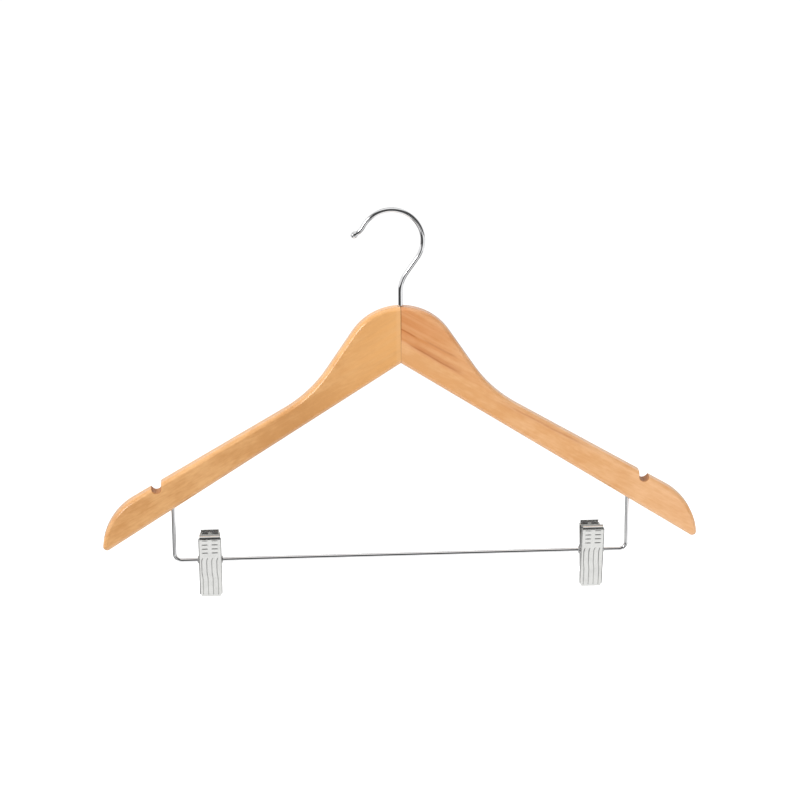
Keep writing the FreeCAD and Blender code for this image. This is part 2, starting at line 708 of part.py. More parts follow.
def make_pivot_tube(label, placement):
    """Turn the tubular rivet with its two rolled rims."""
    body = new_body(label, placement)
    outline = new_sketch(body, "tube_outline", "XZ_Plane")
    bore = "sizes.bar_wire / 2 + sizes.slide_clearance"
    shoulder = "(sizes.jaw_width / 2 + sizes.rim_gap)"
    end = f"({shoulder} + sizes.rim_thickness)"
    add_polygon(outline, [
        (f"-{end}", bore),
        (end, bore),
        (end, "sizes.rim_radius"),
        (shoulder, "sizes.rim_radius"),
        (shoulder, "sizes.tube_radius"),
        (f"-{shoulder}", "sizes.tube_radius"),
        (f"-{shoulder}", "sizes.rim_radius"),
        (f"-{end}", "sizes.rim_radius"),
    ])
    tube = body.newObject("PartDesign::Revolution", "tube")
    tube.Profile = outline
    tube.ReferenceAxis = (outline, ["H_Axis"])
    tube.Angle = 360
    doc.recompute()
    return body


def make_spring(label, placement):
    """Fold the leaf spring round the pivot tube: half of its fold and one leg, and their mirror image."""
    body = new_body(label, placement)
    fold_radius = "(sizes.tube_radius + sizes.spring_gap + sizes.spring_thickness / 2)"
    # The leg's tip lies beside the handle's inner face, in the frame of the leaning jaw
    stand_off = "(sizes.plate_stand - sizes.sheet_thickness - sizes.spring_gap - sizes.spring_thickness / 2)"
    tip_across = f"{stand_off} * cos(sizes.jaw_lean) + sizes.spring_reach * sin(sizes.jaw_lean)"
    tip_up = f"sizes.spring_reach * cos(sizes.jaw_lean) - {stand_off} * sin(sizes.jaw_lean)"
    radius = number_of(fold_radius)
    tip = FreeCAD.Vector(number_of(tip_across), number_of(tip_up), 0)
    tip_angle = math.degrees(math.atan2(tip.y, tip.x))
    leave_angle = tip_angle - math.degrees(math.acos(radius / tip.Length))

    path = new_sketch(body, "spring_path", "YZ_Plane")
    fold = add_arc(path, FreeCAD.Vector(0, 0, 0), radius, -90, leave_angle)
    leg = path.addGeometry(Part.LineSegment(polar(radius, leave_angle), tip))
    constrain(path, "Coincident", fold, 3, -1, 1)
    constrain(path, "PointOnObject", fold, 1, -2)
    constrain(path, "Tangent", fold, 2, leg, 1)
    dimension(path, "Radius", fold, size=fold_radius)
    place_point(path, leg, 2, tip_across, tip_up)
    doc.recompute()
    section = new_sketch(body, "spring_section", "XZ_Plane")
    half = "sizes.spring_width / 2"
    inner = "-(sizes.tube_radius + sizes.spring_gap)"
    outer = f"{inner} - sizes.spring_thickness"
    add_polygon(section, [(f"-{half}", outer), (half, outer), (half, inner), (f"-{half}", inner)])
    mirror(body, sweep(body, section, path), "XZ_Plane")
    return body


def make_clip(side):
    """Make the six pieces of one clip."""
    front = clip_placement(side, FRONT_TURN)
    back = clip_placement(side, BACK_TURN)
    level = clip_placement(side, "rotationx(0)")
    return [
        make_jaw(f"{side}_front_jaw", front, FRONT_WIDTH),
        make_jaw(f"{side}_back_jaw", back, BACK_WIDTH),
        make_pad(f"{side}_front_pad", front),
        make_pad(f"{side}_back_pad", back),
        make_pivot_tube(f"{side}_pivot_tube", level),
        make_spring(f"{side}_spring", level),
    ]


def check_and_write(pieces):
    """Stop if any object failed or a piece is not one sound solid; then write each piece to its own file."""
    doc.recompute()
    for item in doc.Objects:
        if {"Invalid", "Error"} & set(item.State):
            raise RuntimeError(f"{item.Label} failed: {item.State}")
    for piece in pieces:
        shape = piece.Shape
        if shape.isNull() or not shape.isValid() or len(shape.Solids) != 1:
            raise RuntimeError(f"{piece.Label} is not one sound solid")
    os.makedirs("parts", exist_ok=True)
    for piece in pieces:
        piece.Shape.exportStep(f"parts/{piece.Label}.step")
        print(f"{piece.Label}: {piece.Shape.Volume:.1f} mm3")


subparts = make_shoulders() + [make_hook()] + make_swivel() + [make_clip_bar()]
for clip_side in SIDES:
    subparts += make_clip(clip_side)
check_and_write(subparts)
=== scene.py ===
"""Looks of a wooden skirt hanger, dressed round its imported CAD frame.

Two lacquered boards meet under a swivel hook, and a wire bar below them carries two pressed clips.
Metres, in the CAD part's frame: +Z up, the front faces -Y, and the hook swivels on the Z axis.
"""

import logging
import math
from dataclasses import dataclass
from enum import Enum
from typing import Any, Callable

import bmesh
import bpy
from mathutils import Matrix, Vector


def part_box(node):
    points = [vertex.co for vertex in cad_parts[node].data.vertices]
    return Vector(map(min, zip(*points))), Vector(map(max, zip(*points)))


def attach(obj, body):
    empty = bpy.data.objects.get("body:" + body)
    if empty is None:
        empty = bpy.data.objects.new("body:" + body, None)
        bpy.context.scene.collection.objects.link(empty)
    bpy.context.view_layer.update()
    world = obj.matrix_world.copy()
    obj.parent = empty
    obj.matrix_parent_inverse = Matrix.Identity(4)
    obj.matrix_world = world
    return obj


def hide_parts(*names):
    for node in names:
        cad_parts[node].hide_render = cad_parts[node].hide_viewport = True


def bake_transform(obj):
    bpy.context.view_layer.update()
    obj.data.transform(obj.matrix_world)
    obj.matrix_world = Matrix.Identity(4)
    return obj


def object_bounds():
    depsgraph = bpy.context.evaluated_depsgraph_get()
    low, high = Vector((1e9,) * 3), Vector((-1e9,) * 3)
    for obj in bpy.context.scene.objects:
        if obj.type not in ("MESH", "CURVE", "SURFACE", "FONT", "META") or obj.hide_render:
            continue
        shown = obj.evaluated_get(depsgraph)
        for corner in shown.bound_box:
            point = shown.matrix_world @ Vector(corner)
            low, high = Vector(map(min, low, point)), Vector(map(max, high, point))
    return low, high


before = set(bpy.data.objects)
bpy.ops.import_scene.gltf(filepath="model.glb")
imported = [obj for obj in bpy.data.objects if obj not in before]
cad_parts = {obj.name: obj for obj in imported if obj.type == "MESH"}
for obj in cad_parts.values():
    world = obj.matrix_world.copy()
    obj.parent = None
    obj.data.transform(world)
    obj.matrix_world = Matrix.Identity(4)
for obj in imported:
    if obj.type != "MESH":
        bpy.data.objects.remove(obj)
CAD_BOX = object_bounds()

LOG = logging.getLogger("skirt_hanger")
MM = 0.001
NEAR = 0.01 * MM
RING_SIDES = 32
BEND_STEP = 3.0
QUARTER = math.radians(90.0)

Colour = tuple[float, float, float, float]
Span = tuple[float, float]
PlaceTest = Callable[[Vector], bool]
EdgeTest = Callable[[Vector, Vector], bool]


class Side(Enum):
    """The hanger's two sides, as seen from the front."""

    LEFT = -1
    RIGHT = 1

    @property
    def label(self) -> str:
        """Give the word that starts this side's node and body names."""
        return self.name.lower()


class Face(Enum):
    """The two jaws of a clip, by the way they face."""

    FRONT = "front"
    BACK = "back"


def srgb(red: float, green: float, blue: float) -> Colour:
    """Turn a display colour into the linear colour that shaders take.

    Args:
        red: Red, from 0 to 255.
        green: Green, from 0 to 255.
        blue: Blue, from 0 to 255.

    Returns:
        The linear colour, opaque.
    """
    def linear(level: float) -> float:
        """Undo the display curve of one channel."""
        share = level / 255
        return share / 12.92 if share <= 0.04045 else ((share + 0.055) / 1.055) ** 2.4

    return linear(red), linear(green), linear(blue), 1.0


class Value:
    """A number in a shader graph: arithmetic on it adds Math nodes."""

    def __init__(self, graph: "Graph", socket: bpy.types.NodeSocket) -> None:
        """Wrap an output socket of the graph."""
        self.graph = graph
        self.socket = socket

    def _math(self, operation: str, first: "Value | float", second: "Value | float" = 0.0) -> "Value":
        """Add one Math node.

        Args:
            operation: The Math node's operation.
            first: Its first operand.
            second: Its second operand.

        Returns:
            The node's result.
        """
        return self.graph.value("ShaderNodeMath", {"operation": operation}, {0: first, 1: second})

    def __add__(self, other: "Value | float") -> "Value":
        """Add."""
        return self._math("ADD", self, other)

    __radd__ = __add__

    def __sub__(self, other: "Value | float") -> "Value":
        """Subtract."""
        return self._math("SUBTRACT", self, other)

    def __rsub__(self, other: float) -> "Value":
        """Subtract from a number."""
        return self._math("SUBTRACT", other, self)

    def __mul__(self, other: "Value | float") -> "Value":
        """Multiply."""
        return self._math("MULTIPLY", self, other)

    __rmul__ = __mul__

    def __abs__(self) -> "Value":
        """Drop the sign."""
        return self._math("ABSOLUTE", self)

    def rise(self, low: float, high: float) -> "Value":
        """Rise smoothly from 0 to 1 between two levels, or fall if the first is the higher one.

        Args:
            low: The level that gives 0.
            high: The level that gives 1.

        Returns:
            The share, from 0 to 1.
        """
        stops = {"From Min": min(low, high), "From Max": max(low, high)}
        ends = {"To Min": float(low > high), "To Max": float(low < high)}
        return self.graph.value("ShaderNodeMapRange", {"interpolation_type": "SMOOTHSTEP"},
                                {"Value": self, **stops, **ends})

    def line(self, centre: float, half_width: float) -> "Value":
        """Mark a soft line: 1 at the centre and 0 beyond its half width."""
        return abs(self - centre).rise(half_width, 0.0)


class Graph:
    """A node tree that is being filled."""

    def __init__(self, tree: bpy.types.NodeTree) -> None:
        """Start from an empty tree."""
        self.tree = tree
        tree.nodes.clear()

    def node(self, kind: str, settings: dict[str, Any], inputs: dict[str | int, Any]) -> bpy.types.Node:
        """Add a node.

        Args:
            kind: The node's type.
            settings: Its properties, which are set first.
            inputs: A value, colour or link for each socket, by its name, identifier or index.

        Returns:
            The node.
        """
        made = self.tree.nodes.new(kind)
        for key, setting in settings.items():
            setattr(made, key, setting)
        for key, given in inputs.items():
            socket = self._socket(made, key)
            source = given.socket if isinstance(given, Value) else given
            if isinstance(source, bpy.types.NodeSocket):
                self.tree.links.new(source, socket)
            else:
                socket.default_value = source
        return made

    @staticmethod
    def _socket(node: bpy.types.Node, key: str | int) -> bpy.types.NodeSocket:
        """Find an input socket by its index, identifier or name.

        Args:
            node: The node.
            key: The socket's index, identifier or name.

        Returns:
            The socket.
        """
        if isinstance(key, int):
            return node.inputs[key]
        return next(socket for socket in node.inputs if key in (socket.identifier, socket.name))

    def value(self, kind: str, settings: dict[str, Any], inputs: dict[str | int, Any],
              output: str | int = 0) -> Value:
        """Add a node and wrap one of its outputs."""
        return Value(self, self.node(kind, settings, inputs).outputs[output])

    def place(self, turn: float = 0.0, stretch: tuple[float, float, float] = (1.0, 1.0, 1.0)) -> Any:
        """Give the object's own coordinates, turned about the Y axis and stretched.

        Args:
            turn: The turn in degrees.
            stretch: The scale along each axis.

        Returns:
            The socket of the coordinates.
        """
        source = self.node("ShaderNodeTexCoord", {}, {}).outputs["Object"]
        rotation = (0.0, math.radians(turn), 0.0)
        turned = self.node("ShaderNodeMapping", {}, {"Vector": source, "Rotation": rotation})
        scaled = self.node("ShaderNodeMapping", {}, {"Vector": turned.outputs[0], "Scale": stretch})
        return scaled.outputs[0]

    def parts(self, vector: Any) -> tuple[Value, Value, Value]:
        """Split a vector into its three numbers."""
        split = self.node("ShaderNodeSeparateXYZ", {}, {0: vector})
        return tuple(Value(self, socket) for socket in split.outputs)

    def noise(self, vector: Any, scale: float, detail: float = 2.0, roughness: float = 0.5) -> Value:
        """Add a noise pattern, from 0 to 1 about a half."""
        return self.value("ShaderNodeTexNoise", {},
                          {"Vector": vector, "Scale": scale, "Detail": detail, "Roughness": roughness})

    def mix(self, share: "Value | float", first: Any, second: Any) -> Any:
        """Mix two colours and give the socket of the result."""
        inputs = {"Factor_Float": share, "A_Color": first, "B_Color": second}
        return self.node("ShaderNodeMix", {"data_type": "RGBA"}, inputs).outputs["Result"]

    def bump(self, height: Value, distance: float, strength: float) -> Any:
        """Turn a height into a normal."""
        inputs = {"Height": height, "Distance": distance, "Strength": strength}
        return self.node("ShaderNodeBump", {}, inputs).outputs[0]


@dataclass(frozen=True)
class Finish:
    """A surface finish, which makes a material of one Principled shader.

    Attributes:
        name: The finish's name.
    """

    name: str

    def make(self) -> bpy.types.Material:
        """Make the material.

        Returns:
            The material.
        """
        material = bpy.data.materials.new(self.name)
        material.use_nodes = True
        graph = Graph(material.node_tree)
        shader = graph.node("ShaderNodeBsdfPrincipled", {}, self._dress(graph))
        graph.node("ShaderNodeOutputMaterial", {}, {"Surface": shader.outputs[0]})
        return material

    def _dress(self, graph: Graph) -> dict[str, Any]:
        """Fill the graph and give the shader's inputs, which each finish does in its own way."""
        raise NotImplementedError


@dataclass(frozen=True)
class LacqueredWood(Finish):
    """Satin-lacquered hardwood whose grain runs along its arm.

    Attributes:
        side: The side of the hanger, which sets the way of the grain.
        pale: Colour between the growth rings.
        deep: Colour of the growth rings.
        crown: Colour towards the seam.
        crown_share: How far the wood takes the crown's colour.
        crown_edge: Place across the grain below which the crown's colour ends.
        streak: Colour of the dark streaks.
        streaks: Each streak's place across the grain, half width, ends along the grain and strength.
        sapwood: Strength of the pale strip beside the seam.
        low_shade: How much painted shade deepens the wood towards its lower edge near the seam.
        low_reach: Distances from the seam at which that shade ends and is whole.
        notch: Middle of the strap notch's round floor on the right board, raw wood with painted shade.
        notch_radius: Radius of that floor.
    """

    side: Side
    pale: Colour
    deep: Colour
    crown: Colour
    crown_share: float
    crown_edge: float
    streak: Colour
    streaks: tuple[tuple[float, float, float, float, float], ...]
    sapwood: float
    low_shade: float
    low_reach: tuple[float, float]
    notch: Vector
    notch_radius: float

    GRAIN_SLOPE = 30.0

    # Repeats of the figure per metre: along the grain, through the board and across the grain
    WANDER = (14.0, 9.0, 22.0)
    BANDS = (7.0, 60.0, 210.0)
    FIBRES = (60.0, 900.0, 1900.0)
    FLECKS = (150.0, 200.0, 620.0)
    CLOUDS = (10.0, 25.0, 32.0)
    FIGURE = (42.0, 30.0, 85.0)
    FIGURE_TURN = 0.4

    CROWN_REACH = 0.085
    LOW_SPAN = (-0.082, -0.1)
    SAPWOOD_WIDTH = 0.0042
    GLUE_LINE = 0.00042
    GLUE_FADE = (-0.104, -0.078)
    SAPWOOD_COLOUR = srgb(236, 184, 130)
    GLUE_COLOUR = srgb(128, 72, 34)
    # Raw, unlacquered wood on the notch's floor, whose dark colour is also painted shade inside the notch
    RAW_MARGIN = (0.35 * MM, 0.15 * MM)
    RAW_COLOUR = srgb(158, 98, 48)
    RAW_SHARE = 0.8
    EDGE_BLUR = 0.0022
    EDGE_WANDER = 0.0075
    RELIEF = 0.00005

    def _dress(self, graph: Graph) -> dict[str, Any]:
        """Paint rings, fibres, streaks, the seam and painted shade, and give the lacquer its sheen.

        Args:
            graph: The material's graph.

        Returns:
            The shader's inputs.
        """
        turn = -self.side.value * self.GRAIN_SLOPE
        along, _, across = graph.parts(graph.place(turn))
        beside, _, height = graph.parts(graph.place())
        seam_distance = abs(beside)

        wander = graph.noise(graph.place(turn, self.WANDER), 1.0) - 0.5
        bands = graph.noise(graph.place(turn, self.BANDS), 1.0, 3.0, 0.55)
        fibres = graph.noise(graph.place(turn, self.FIBRES), 1.0, 2.0, 0.6)
        flecks = graph.noise(graph.place(turn, self.FLECKS), 1.0, 2.0, 0.6)
        clouds = graph.noise(graph.place(turn, self.CLOUDS), 1.0, 1.0)
        figure = graph.noise(graph.place(self.FIGURE_TURN * turn, self.FIGURE), 1.0, 2.0)
        depth = bands.rise(0.28, 0.74) * 0.34 + clouds.rise(0.25, 0.75) * 0.36 + figure.rise(0.34, 0.7) * 0.3
        # Painted shade: the wood deepens towards its lower edge near the seam
        low = across.rise(*self.LOW_SPAN) * seam_distance.rise(*self.low_reach)
        depth = depth + (fibres - 0.5) * 0.35 + (flecks - 0.5) * 0.9 + low * self.low_shade
        colour = graph.mix(depth.rise(0.0, 1.0), self.pale, self.deep)

        near_seam = seam_distance.rise(self.CROWN_REACH, 0.0) * (0.55 + bands.rise(0.3, 0.7) * 0.45)
        wavering = across + wander * self.EDGE_WANDER
        edge = self.crown_edge
        near_seam = near_seam * wavering.rise(edge - self.EDGE_BLUR, edge + self.EDGE_BLUR)
        colour = graph.mix(near_seam * self.crown_share, colour, self.crown)
        for place, half_width, start, end, strength in self.streaks:
            fade = 0.25 * (end - start)
            reach = along.rise(start, start + fade) * along.rise(end, end - fade)
            mark = wavering.line(place, half_width) * reach * (0.65 + fibres * 0.7)
            colour = graph.mix(mark * strength, colour, self.streak)
        strip = seam_distance.rise(self.SAPWOOD_WIDTH, 0.6 * self.SAPWOOD_WIDTH)
        colour = graph.mix(strip * self.sapwood, colour, self.SAPWOOD_COLOUR)
        glue = seam_distance.rise(self.GLUE_LINE, 0.4 * self.GLUE_LINE)
        fresh = 0.22 + height.rise(*self.GLUE_FADE) * 0.5
        colour = graph.mix(glue * fresh, colour, self.GLUE_COLOUR)

        # The notch's round floor is raw wood without lacquer; its dark colour also stands for painted shade
        # inside the notch
        aside = seam_distance - self.notch.x
        below = (height - self.notch.z) * height.rise(self.notch.z, self.notch.z - NEAR)
        outer, inner = ((self.notch_radius + margin) ** 2 for margin in self.RAW_MARGIN)
        raw_shaded_floor = (aside * aside + below * below).rise(outer, inner)
        colour = graph.mix(raw_shaded_floor * self.RAW_SHARE, colour, self.RAW_COLOUR)

        relief = fibres * 0.6 + bands * 0.4
        return {
            "Base Color": colour,
            "Roughness": 0.44 + (fibres - 0.5) * 0.16 + (clouds - 0.5) * 0.08,
            "Normal": graph.bump(relief, self.RELIEF, 0.25),
            "Coat Weight": (0.8 + (clouds - 0.5) * 0.2) * (1.0 - raw_shaded_floor),
            "Coat Roughness": 0.06,
            "Coat IOR": 1.75,
            "Specular IOR Level": 0.3,
        }


@dataclass(frozen=True)
class BrightMetal(Finish):
    """Plated or bare metal with faint cloudy polish and fine scratches.

    Attributes:
        colour: Colour of clean metal.
        dull: Colour of its duller patches.
        roughness: Mean roughness.
        cloud: How much the roughness wanders.
        scratch: Strength of the fine relief.
        pressed: Colour of pressed lines, painted as shade in them, on pieces that carry the "pressed"
            attribute.
    """

    colour: Colour
    dull: Colour
    roughness: float
    cloud: float
    scratch: float
    pressed: Colour | None = None

    PRESSED_DULLNESS = 0.12
    SCRATCH_RELIEF = 0.00002

    def _dress(self, graph: Graph) -> dict[str, Any]:
        """Cloud the polish, dull what is pressed in and paint shade into it.

        Args:
            graph: The material's graph.

        Returns:
            The shader's inputs.
        """
        clouds = graph.noise(graph.place(), 160.0, 3.0)
        scratches = graph.noise(graph.place(0.0, (300.0, 2500.0, 2500.0)), 1.0, 2.0, 0.7)
        colour = graph.mix(clouds.rise(0.35, 0.8), self.colour, self.dull)
        roughness = self.roughness + (clouds - 0.5) * self.cloud + (scratches - 0.5) * self.cloud
        # Pressed lines take a duller polish, and their darker colour is painted shade in the creases
        if self.pressed:
            mark = graph.value("ShaderNodeAttribute", {"attribute_name": "pressed"}, {}, "Fac")
            depth = mark.rise(0.1, 0.9)
            colour = graph.mix(depth, colour, self.pressed)
            roughness = roughness + depth * self.PRESSED_DULLNESS
        return {
            "Base Color": colour,
            "Metallic": 1.0,
            "Roughness": roughness,
            "Normal": graph.bump(scratches, self.SCRATCH_RELIEF, self.scratch),
        }


@dataclass(frozen=True)
class MouldedRubber(Finish):
    """Soft moulded rubber with a matt bloom.

    Attributes:
        colour: Colour of the rubber.
        bloom: Paler colour of its bloom.
    """

    colour: Colour
    bloom: Colour

    PEBBLE_RELIEF = 0.00004

    def _dress(self, graph: Graph) -> dict[str, Any]:
        """Dust the rubber with bloom over a fine pebbled skin.

        Args:
            graph: The material's graph.

        Returns:
            The shader's inputs.
        """
        bloom = graph.noise(graph.place(), 260.0, 3.0)
        pebbles = graph.noise(graph.place(), 4200.0, 1.0)
        return {
            "Base Color": graph.mix(bloom.rise(0.4, 0.8), self.colour, self.bloom),
            "Roughness": 0.62 + (bloom - 0.5) * 0.2,
            "Normal": graph.bump(pebbles, self.PEBBLE_RELIEF, 0.5),
        }


CHROME = BrightMetal(
    name="mirror_chrome", colour=(0.88, 0.88, 0.89, 1.0), dull=(0.82, 0.82, 0.83, 1.0),
    roughness=0.06, cloud=0.03, scratch=0.05,
)
# The nickel's pressed colour is painted shade in the jaws' pressed lines
NICKEL = BrightMetal(
    name="pressed_nickel", colour=(0.84, 0.84, 0.82, 1.0), dull=(0.78, 0.78, 0.76, 1.0),
    roughness=0.2, cloud=0.08, scratch=0.1, pressed=(0.4, 0.4, 0.4, 1.0),
)
ZINC = BrightMetal(
    name="zinc_steel", colour=(0.72, 0.72, 0.72, 1.0), dull=(0.6, 0.6, 0.6, 1.0),
    roughness=0.3, cloud=0.14, scratch=0.2,
)
SPRING_STEEL = BrightMetal(
    name="spring_leaf_steel", colour=(0.55, 0.55, 0.56, 1.0), dull=(0.45, 0.45, 0.47, 1.0),
    roughness=0.28, cloud=0.12, scratch=0.2,
)
RUBBER = MouldedRubber(name="grip_rubber", colour=srgb(214, 214, 208), bloom=srgb(228, 228, 224))


class Workpiece:
    """A mesh on the bench: a primitive that edit-mode operators shape into a piece."""

    def __init__(self, name: str) -> None:
        """Open the primitive that was just added, with its place put into its mesh.

        Args:
            name: The piece's name.
        """
        self.obj = bpy.context.object
        self.obj.name = name
        self.obj.data.name = name
        bpy.ops.object.transform_apply(location=True, rotation=True, scale=True)
        bpy.ops.object.mode_set(mode="EDIT")
        bpy.ops.mesh.select_all(action="SELECT")

    @classmethod
    def point(cls, name: str, place: Vector) -> "Workpiece":
        """Start from a plane drawn together to one point.

        Args:
            name: The piece's name.
            place: The point.

        Returns:
            The piece, open for shaping.
        """
        bpy.ops.object.select_all(action="DESELECT")
        bpy.ops.mesh.primitive_plane_add(size=MM, location=place)
        piece = cls(name)
        bpy.ops.mesh.merge(type="CENTER")
        return piece

    @classmethod
    def ring(cls, name: str, radius: float, place: Vector, turn: tuple[float, float, float] = (0.0, 0.0, 0.0),
             ) -> "Workpiece":
        """Start from a ring, which lies level unless it is turned.

        Args:
            name: The piece's name.
            radius: The ring's radius.
            place: Its middle.
            turn: Its rotation about each axis.

        Returns:
            The piece, open for shaping.
        """
        bpy.ops.object.select_all(action="DESELECT")
        bpy.ops.mesh.primitive_circle_add(vertices=RING_SIDES, radius=radius, location=place, rotation=turn)
        return cls(name)

    @classmethod
    def sheet(cls, name: str, width: float, foot: float, top: float, depth: float) -> "Workpiece":
        """Start from an upright sheet that faces the front.

        Args:
            name: The piece's name.
            width: Its width, about x = 0.
            foot: Level of its lower edge.
            top: Level of its upper edge.
            depth: Its place along y.

        Returns:
            The piece, open for shaping.
        """
        bpy.ops.object.select_all(action="DESELECT")
        bpy.ops.mesh.primitive_plane_add(size=1.0, location=(0.0, depth, (foot + top) / 2),
                                         rotation=(QUARTER, 0.0, 0.0))
        bpy.context.object.scale = (width, top - foot, 1.0)
        return cls(name)

    def pick_points(self, test: PlaceTest) -> None:
        """Select the points whose place passes the test, and what lies between them.

        Args:
            test: Takes a point's place.
        """
        bpy.ops.mesh.select_mode(type="VERT")
        bpy.ops.mesh.select_all(action="DESELECT")
        mesh = bmesh.from_edit_mesh(self.obj.data)
        for point in mesh.verts:
            point.select_set(test(point.co))
        mesh.select_flush(True)
        bmesh.update_edit_mesh(self.obj.data)

    def pick_edges(self, test: EdgeTest) -> None:
        """Select the edges whose two ends pass the test.

        Args:
            test: Takes the places of an edge's ends.
        """
        bpy.ops.mesh.select_mode(type="EDGE")
        bpy.ops.mesh.select_all(action="DESELECT")
        mesh = bmesh.from_edit_mesh(self.obj.data)
        for edge in mesh.edges:
            edge.select_set(test(edge.verts[0].co, edge.verts[1].co))
        bmesh.update_edit_mesh(self.obj.data)

    def pick_creases(self, angle: float, test: PlaceTest) -> None:
        """Select the edges that turn by more than an angle in degrees and whose middle passes the test.

        Args:
            angle: The angle.
            test: Takes the place of an edge's middle.
        """
        bpy.ops.mesh.select_mode(type="EDGE")
        bpy.ops.mesh.select_all(action="DESELECT")
        mesh = bmesh.from_edit_mesh(self.obj.data)
        for edge in mesh.edges:
            turns = len(edge.link_faces) == 2 and edge.calc_face_angle() > math.radians(angle)
            edge.select_set(turns and test((edge.verts[0].co + edge.verts[1].co) / 2))
        bmesh.update_edit_mesh(self.obj.data)

    def levels(self, test: PlaceTest) -> list[float]:
        """List the levels at which the points that pass the test lie."""
        mesh = bmesh.from_edit_mesh(self.obj.data)
        return sorted({round(point.co.z, 7) for point in mesh.verts if test(point.co)})

    def cut(self, place: tuple[float, float, float], normal: tuple[float, float, float]) -> None:
        """Score a line right across the piece."""
        bpy.ops.mesh.select_all(action="SELECT")
        bpy.ops.mesh.bisect(plane_co=place, plane_no=normal, threshold=NEAR / 10)

    @staticmethod
    def extrude(way: Vector | tuple[float, float, float]) -> None:
        """Extrude what is selected."""
        bpy.ops.mesh.extrude_region_move(TRANSFORM_OT_translate={"value": tuple(way)})

    @staticmethod
    def move(way: Vector | tuple[float, float, float]) -> None:
        """Move what is selected."""
        bpy.ops.transform.translate(value=tuple(way))

    @staticmethod
    def scale(factor: float, centre: Vector) -> None:
        """Scale what is selected about a point."""
        bpy.ops.transform.resize(value=(factor, factor, factor), center_override=tuple(centre))

    @staticmethod
    def round_edges(radius: float, segments: int, profile: float = 0.5) -> None:
        """Round the selected edges; a profile below a half is flatter than an arc."""
        bpy.ops.mesh.bevel(offset=radius, segments=segments, profile=profile, affect="EDGES",
                           clamp_overlap=False)

    def close(self) -> bpy.types.Object:
        """Merge doubles, turn the faces outwards and leave edit mode.

        Returns:
            The piece's object.
        """
        bpy.ops.mesh.select_mode(type="VERT")
        bpy.ops.mesh.select_all(action="SELECT")
        bpy.ops.mesh.remove_doubles(threshold=NEAR / 10)
        bpy.ops.mesh.normals_make_consistent(inside=False)
        bpy.ops.object.mode_set(mode="OBJECT")
        return self.obj


class Tracer:
    """Draws a line in an upright plane by extruding and spinning what is selected, as a wire bender does."""

    def __init__(self, place: Vector, heading: float) -> None:
        """Set off from a place.

        Args:
            place: Where the line starts.
            heading: Its first direction in degrees, anticlockwise from +X as seen from the front.
        """
        self.place = place.copy()
        self.heading = heading

    def _way(self, turn: float = 0.0) -> Vector:
        """Give the direction at an angle from the heading."""
        angle = math.radians(self.heading + turn)
        return Vector((math.cos(angle), 0.0, math.sin(angle)))

    def straight(self, length: float) -> None:
        """Run on straight."""
        Workpiece.extrude(self._way() * length)
        self.place += self._way() * length

    def bend(self, radius: float, degrees: float, step: float = BEND_STEP) -> None:
        """Bend round an arc in steps, anticlockwise if the angle is positive.

        Args:
            radius: The arc's radius.
            degrees: Its angle.
            step: The largest angle of one step, in degrees.
        """
        inwards = math.copysign(90.0, degrees)
        centre = self.place + self._way(inwards) * radius
        steps = max(2, math.ceil(abs(degrees) / step))
        bpy.ops.mesh.spin(steps=steps, angle=math.radians(degrees), center=tuple(centre),
                          axis=(0.0, 1.0, 0.0))
        self.heading += degrees
        self.place = centre - self._way(inwards) * radius


def take_up(obj: bpy.types.Object) -> None:
    """Select one object alone and make it the active one.

    Args:
        obj: The object.
    """
    bpy.ops.object.select_all(action="DESELECT")
    obj.select_set(True)
    bpy.context.view_layer.objects.active = obj


def apply_modifier(obj: bpy.types.Object, kind: str, **settings: Any) -> None:
    """Add a modifier to an object and apply it.

    Args:
        obj: The object.
        kind: The modifier's type.
        **settings: The modifier's properties.
    """
    take_up(obj)
    modifier = obj.modifiers.new(kind.lower(), kind)
    for key, setting in settings.items():
        setattr(modifier, key, setting)
    bpy.ops.object.modifier_apply(modifier=modifier.name)


def carve(obj: bpy.types.Object, cutter: bpy.types.Object) -> None:
    """Cut one object out of another, and remove the cutter."""
    apply_modifier(obj, "BOOLEAN", operation="DIFFERENCE", solver="EXACT", object=cutter)
    bpy.data.objects.remove(cutter)


def soften(obj: bpy.types.Object, width: float, angle: float) -> None:
    """Bevel the edges of an object that turn by more than an angle in degrees."""
    apply_modifier(obj, "BEVEL", width=width, segments=2, limit_method="ANGLE",
                   angle_limit=math.radians(angle))


def smooth(obj: bpy.types.Object, angle: float) -> None:
    """Shade an object smoothly where it turns by less than an angle, with its large faces kept flat.

    Args:
        obj: The object.
        angle: The angle in degrees.
    """
    take_up(obj)
    bpy.ops.object.shade_smooth_by_angle(angle=math.radians(angle))
    apply_modifier(obj, "WEIGHTED_NORMAL", keep_sharp=True, weight=100)


def set_down(obj: bpy.types.Object, name: str, placement: Matrix, mirrored: bool = False) -> bpy.types.Object:
    """Copy a piece with its own mesh to its place.

    Args:
        obj: The piece as it was modelled.
        name: The copy's name.
        placement: Where the copy goes; its place ends up in its mesh.
        mirrored: Whether the placement turns the piece inside out, as a mirror does.

    Returns:
        The copy.
    """
    copy = obj.copy()
    copy.data = obj.data.copy()
    copy.name = name
    copy.data.name = name
    bpy.context.scene.collection.objects.link(copy)
    copy.data.transform(placement)
    if mirrored:
        copy.data.flip_normals()
    return copy


def stand_in(obj: bpy.types.Object, material: bpy.types.Material, node: str) -> None:
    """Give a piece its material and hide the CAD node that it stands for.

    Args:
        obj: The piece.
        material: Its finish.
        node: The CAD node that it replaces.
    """
    obj.data.materials.clear()
    obj.data.materials.append(material)
    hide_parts(node)


def dress(obj: bpy.types.Object, material: bpy.types.Material, body: str, node: str) -> None:
    """Give a finished piece its material in its material slot and its body, and hide the CAD node that it
    stands for.

    Args:
        obj: The piece.
        material: Its finish.
        body: The CAD body that it rides on.
        node: The CAD node that it replaces.
    """
    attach(obj, body)
    stand_in(obj, material, node)
    LOG.info("%s: %d faces, rides on %s", obj.name, len(obj.data.polygons), body)


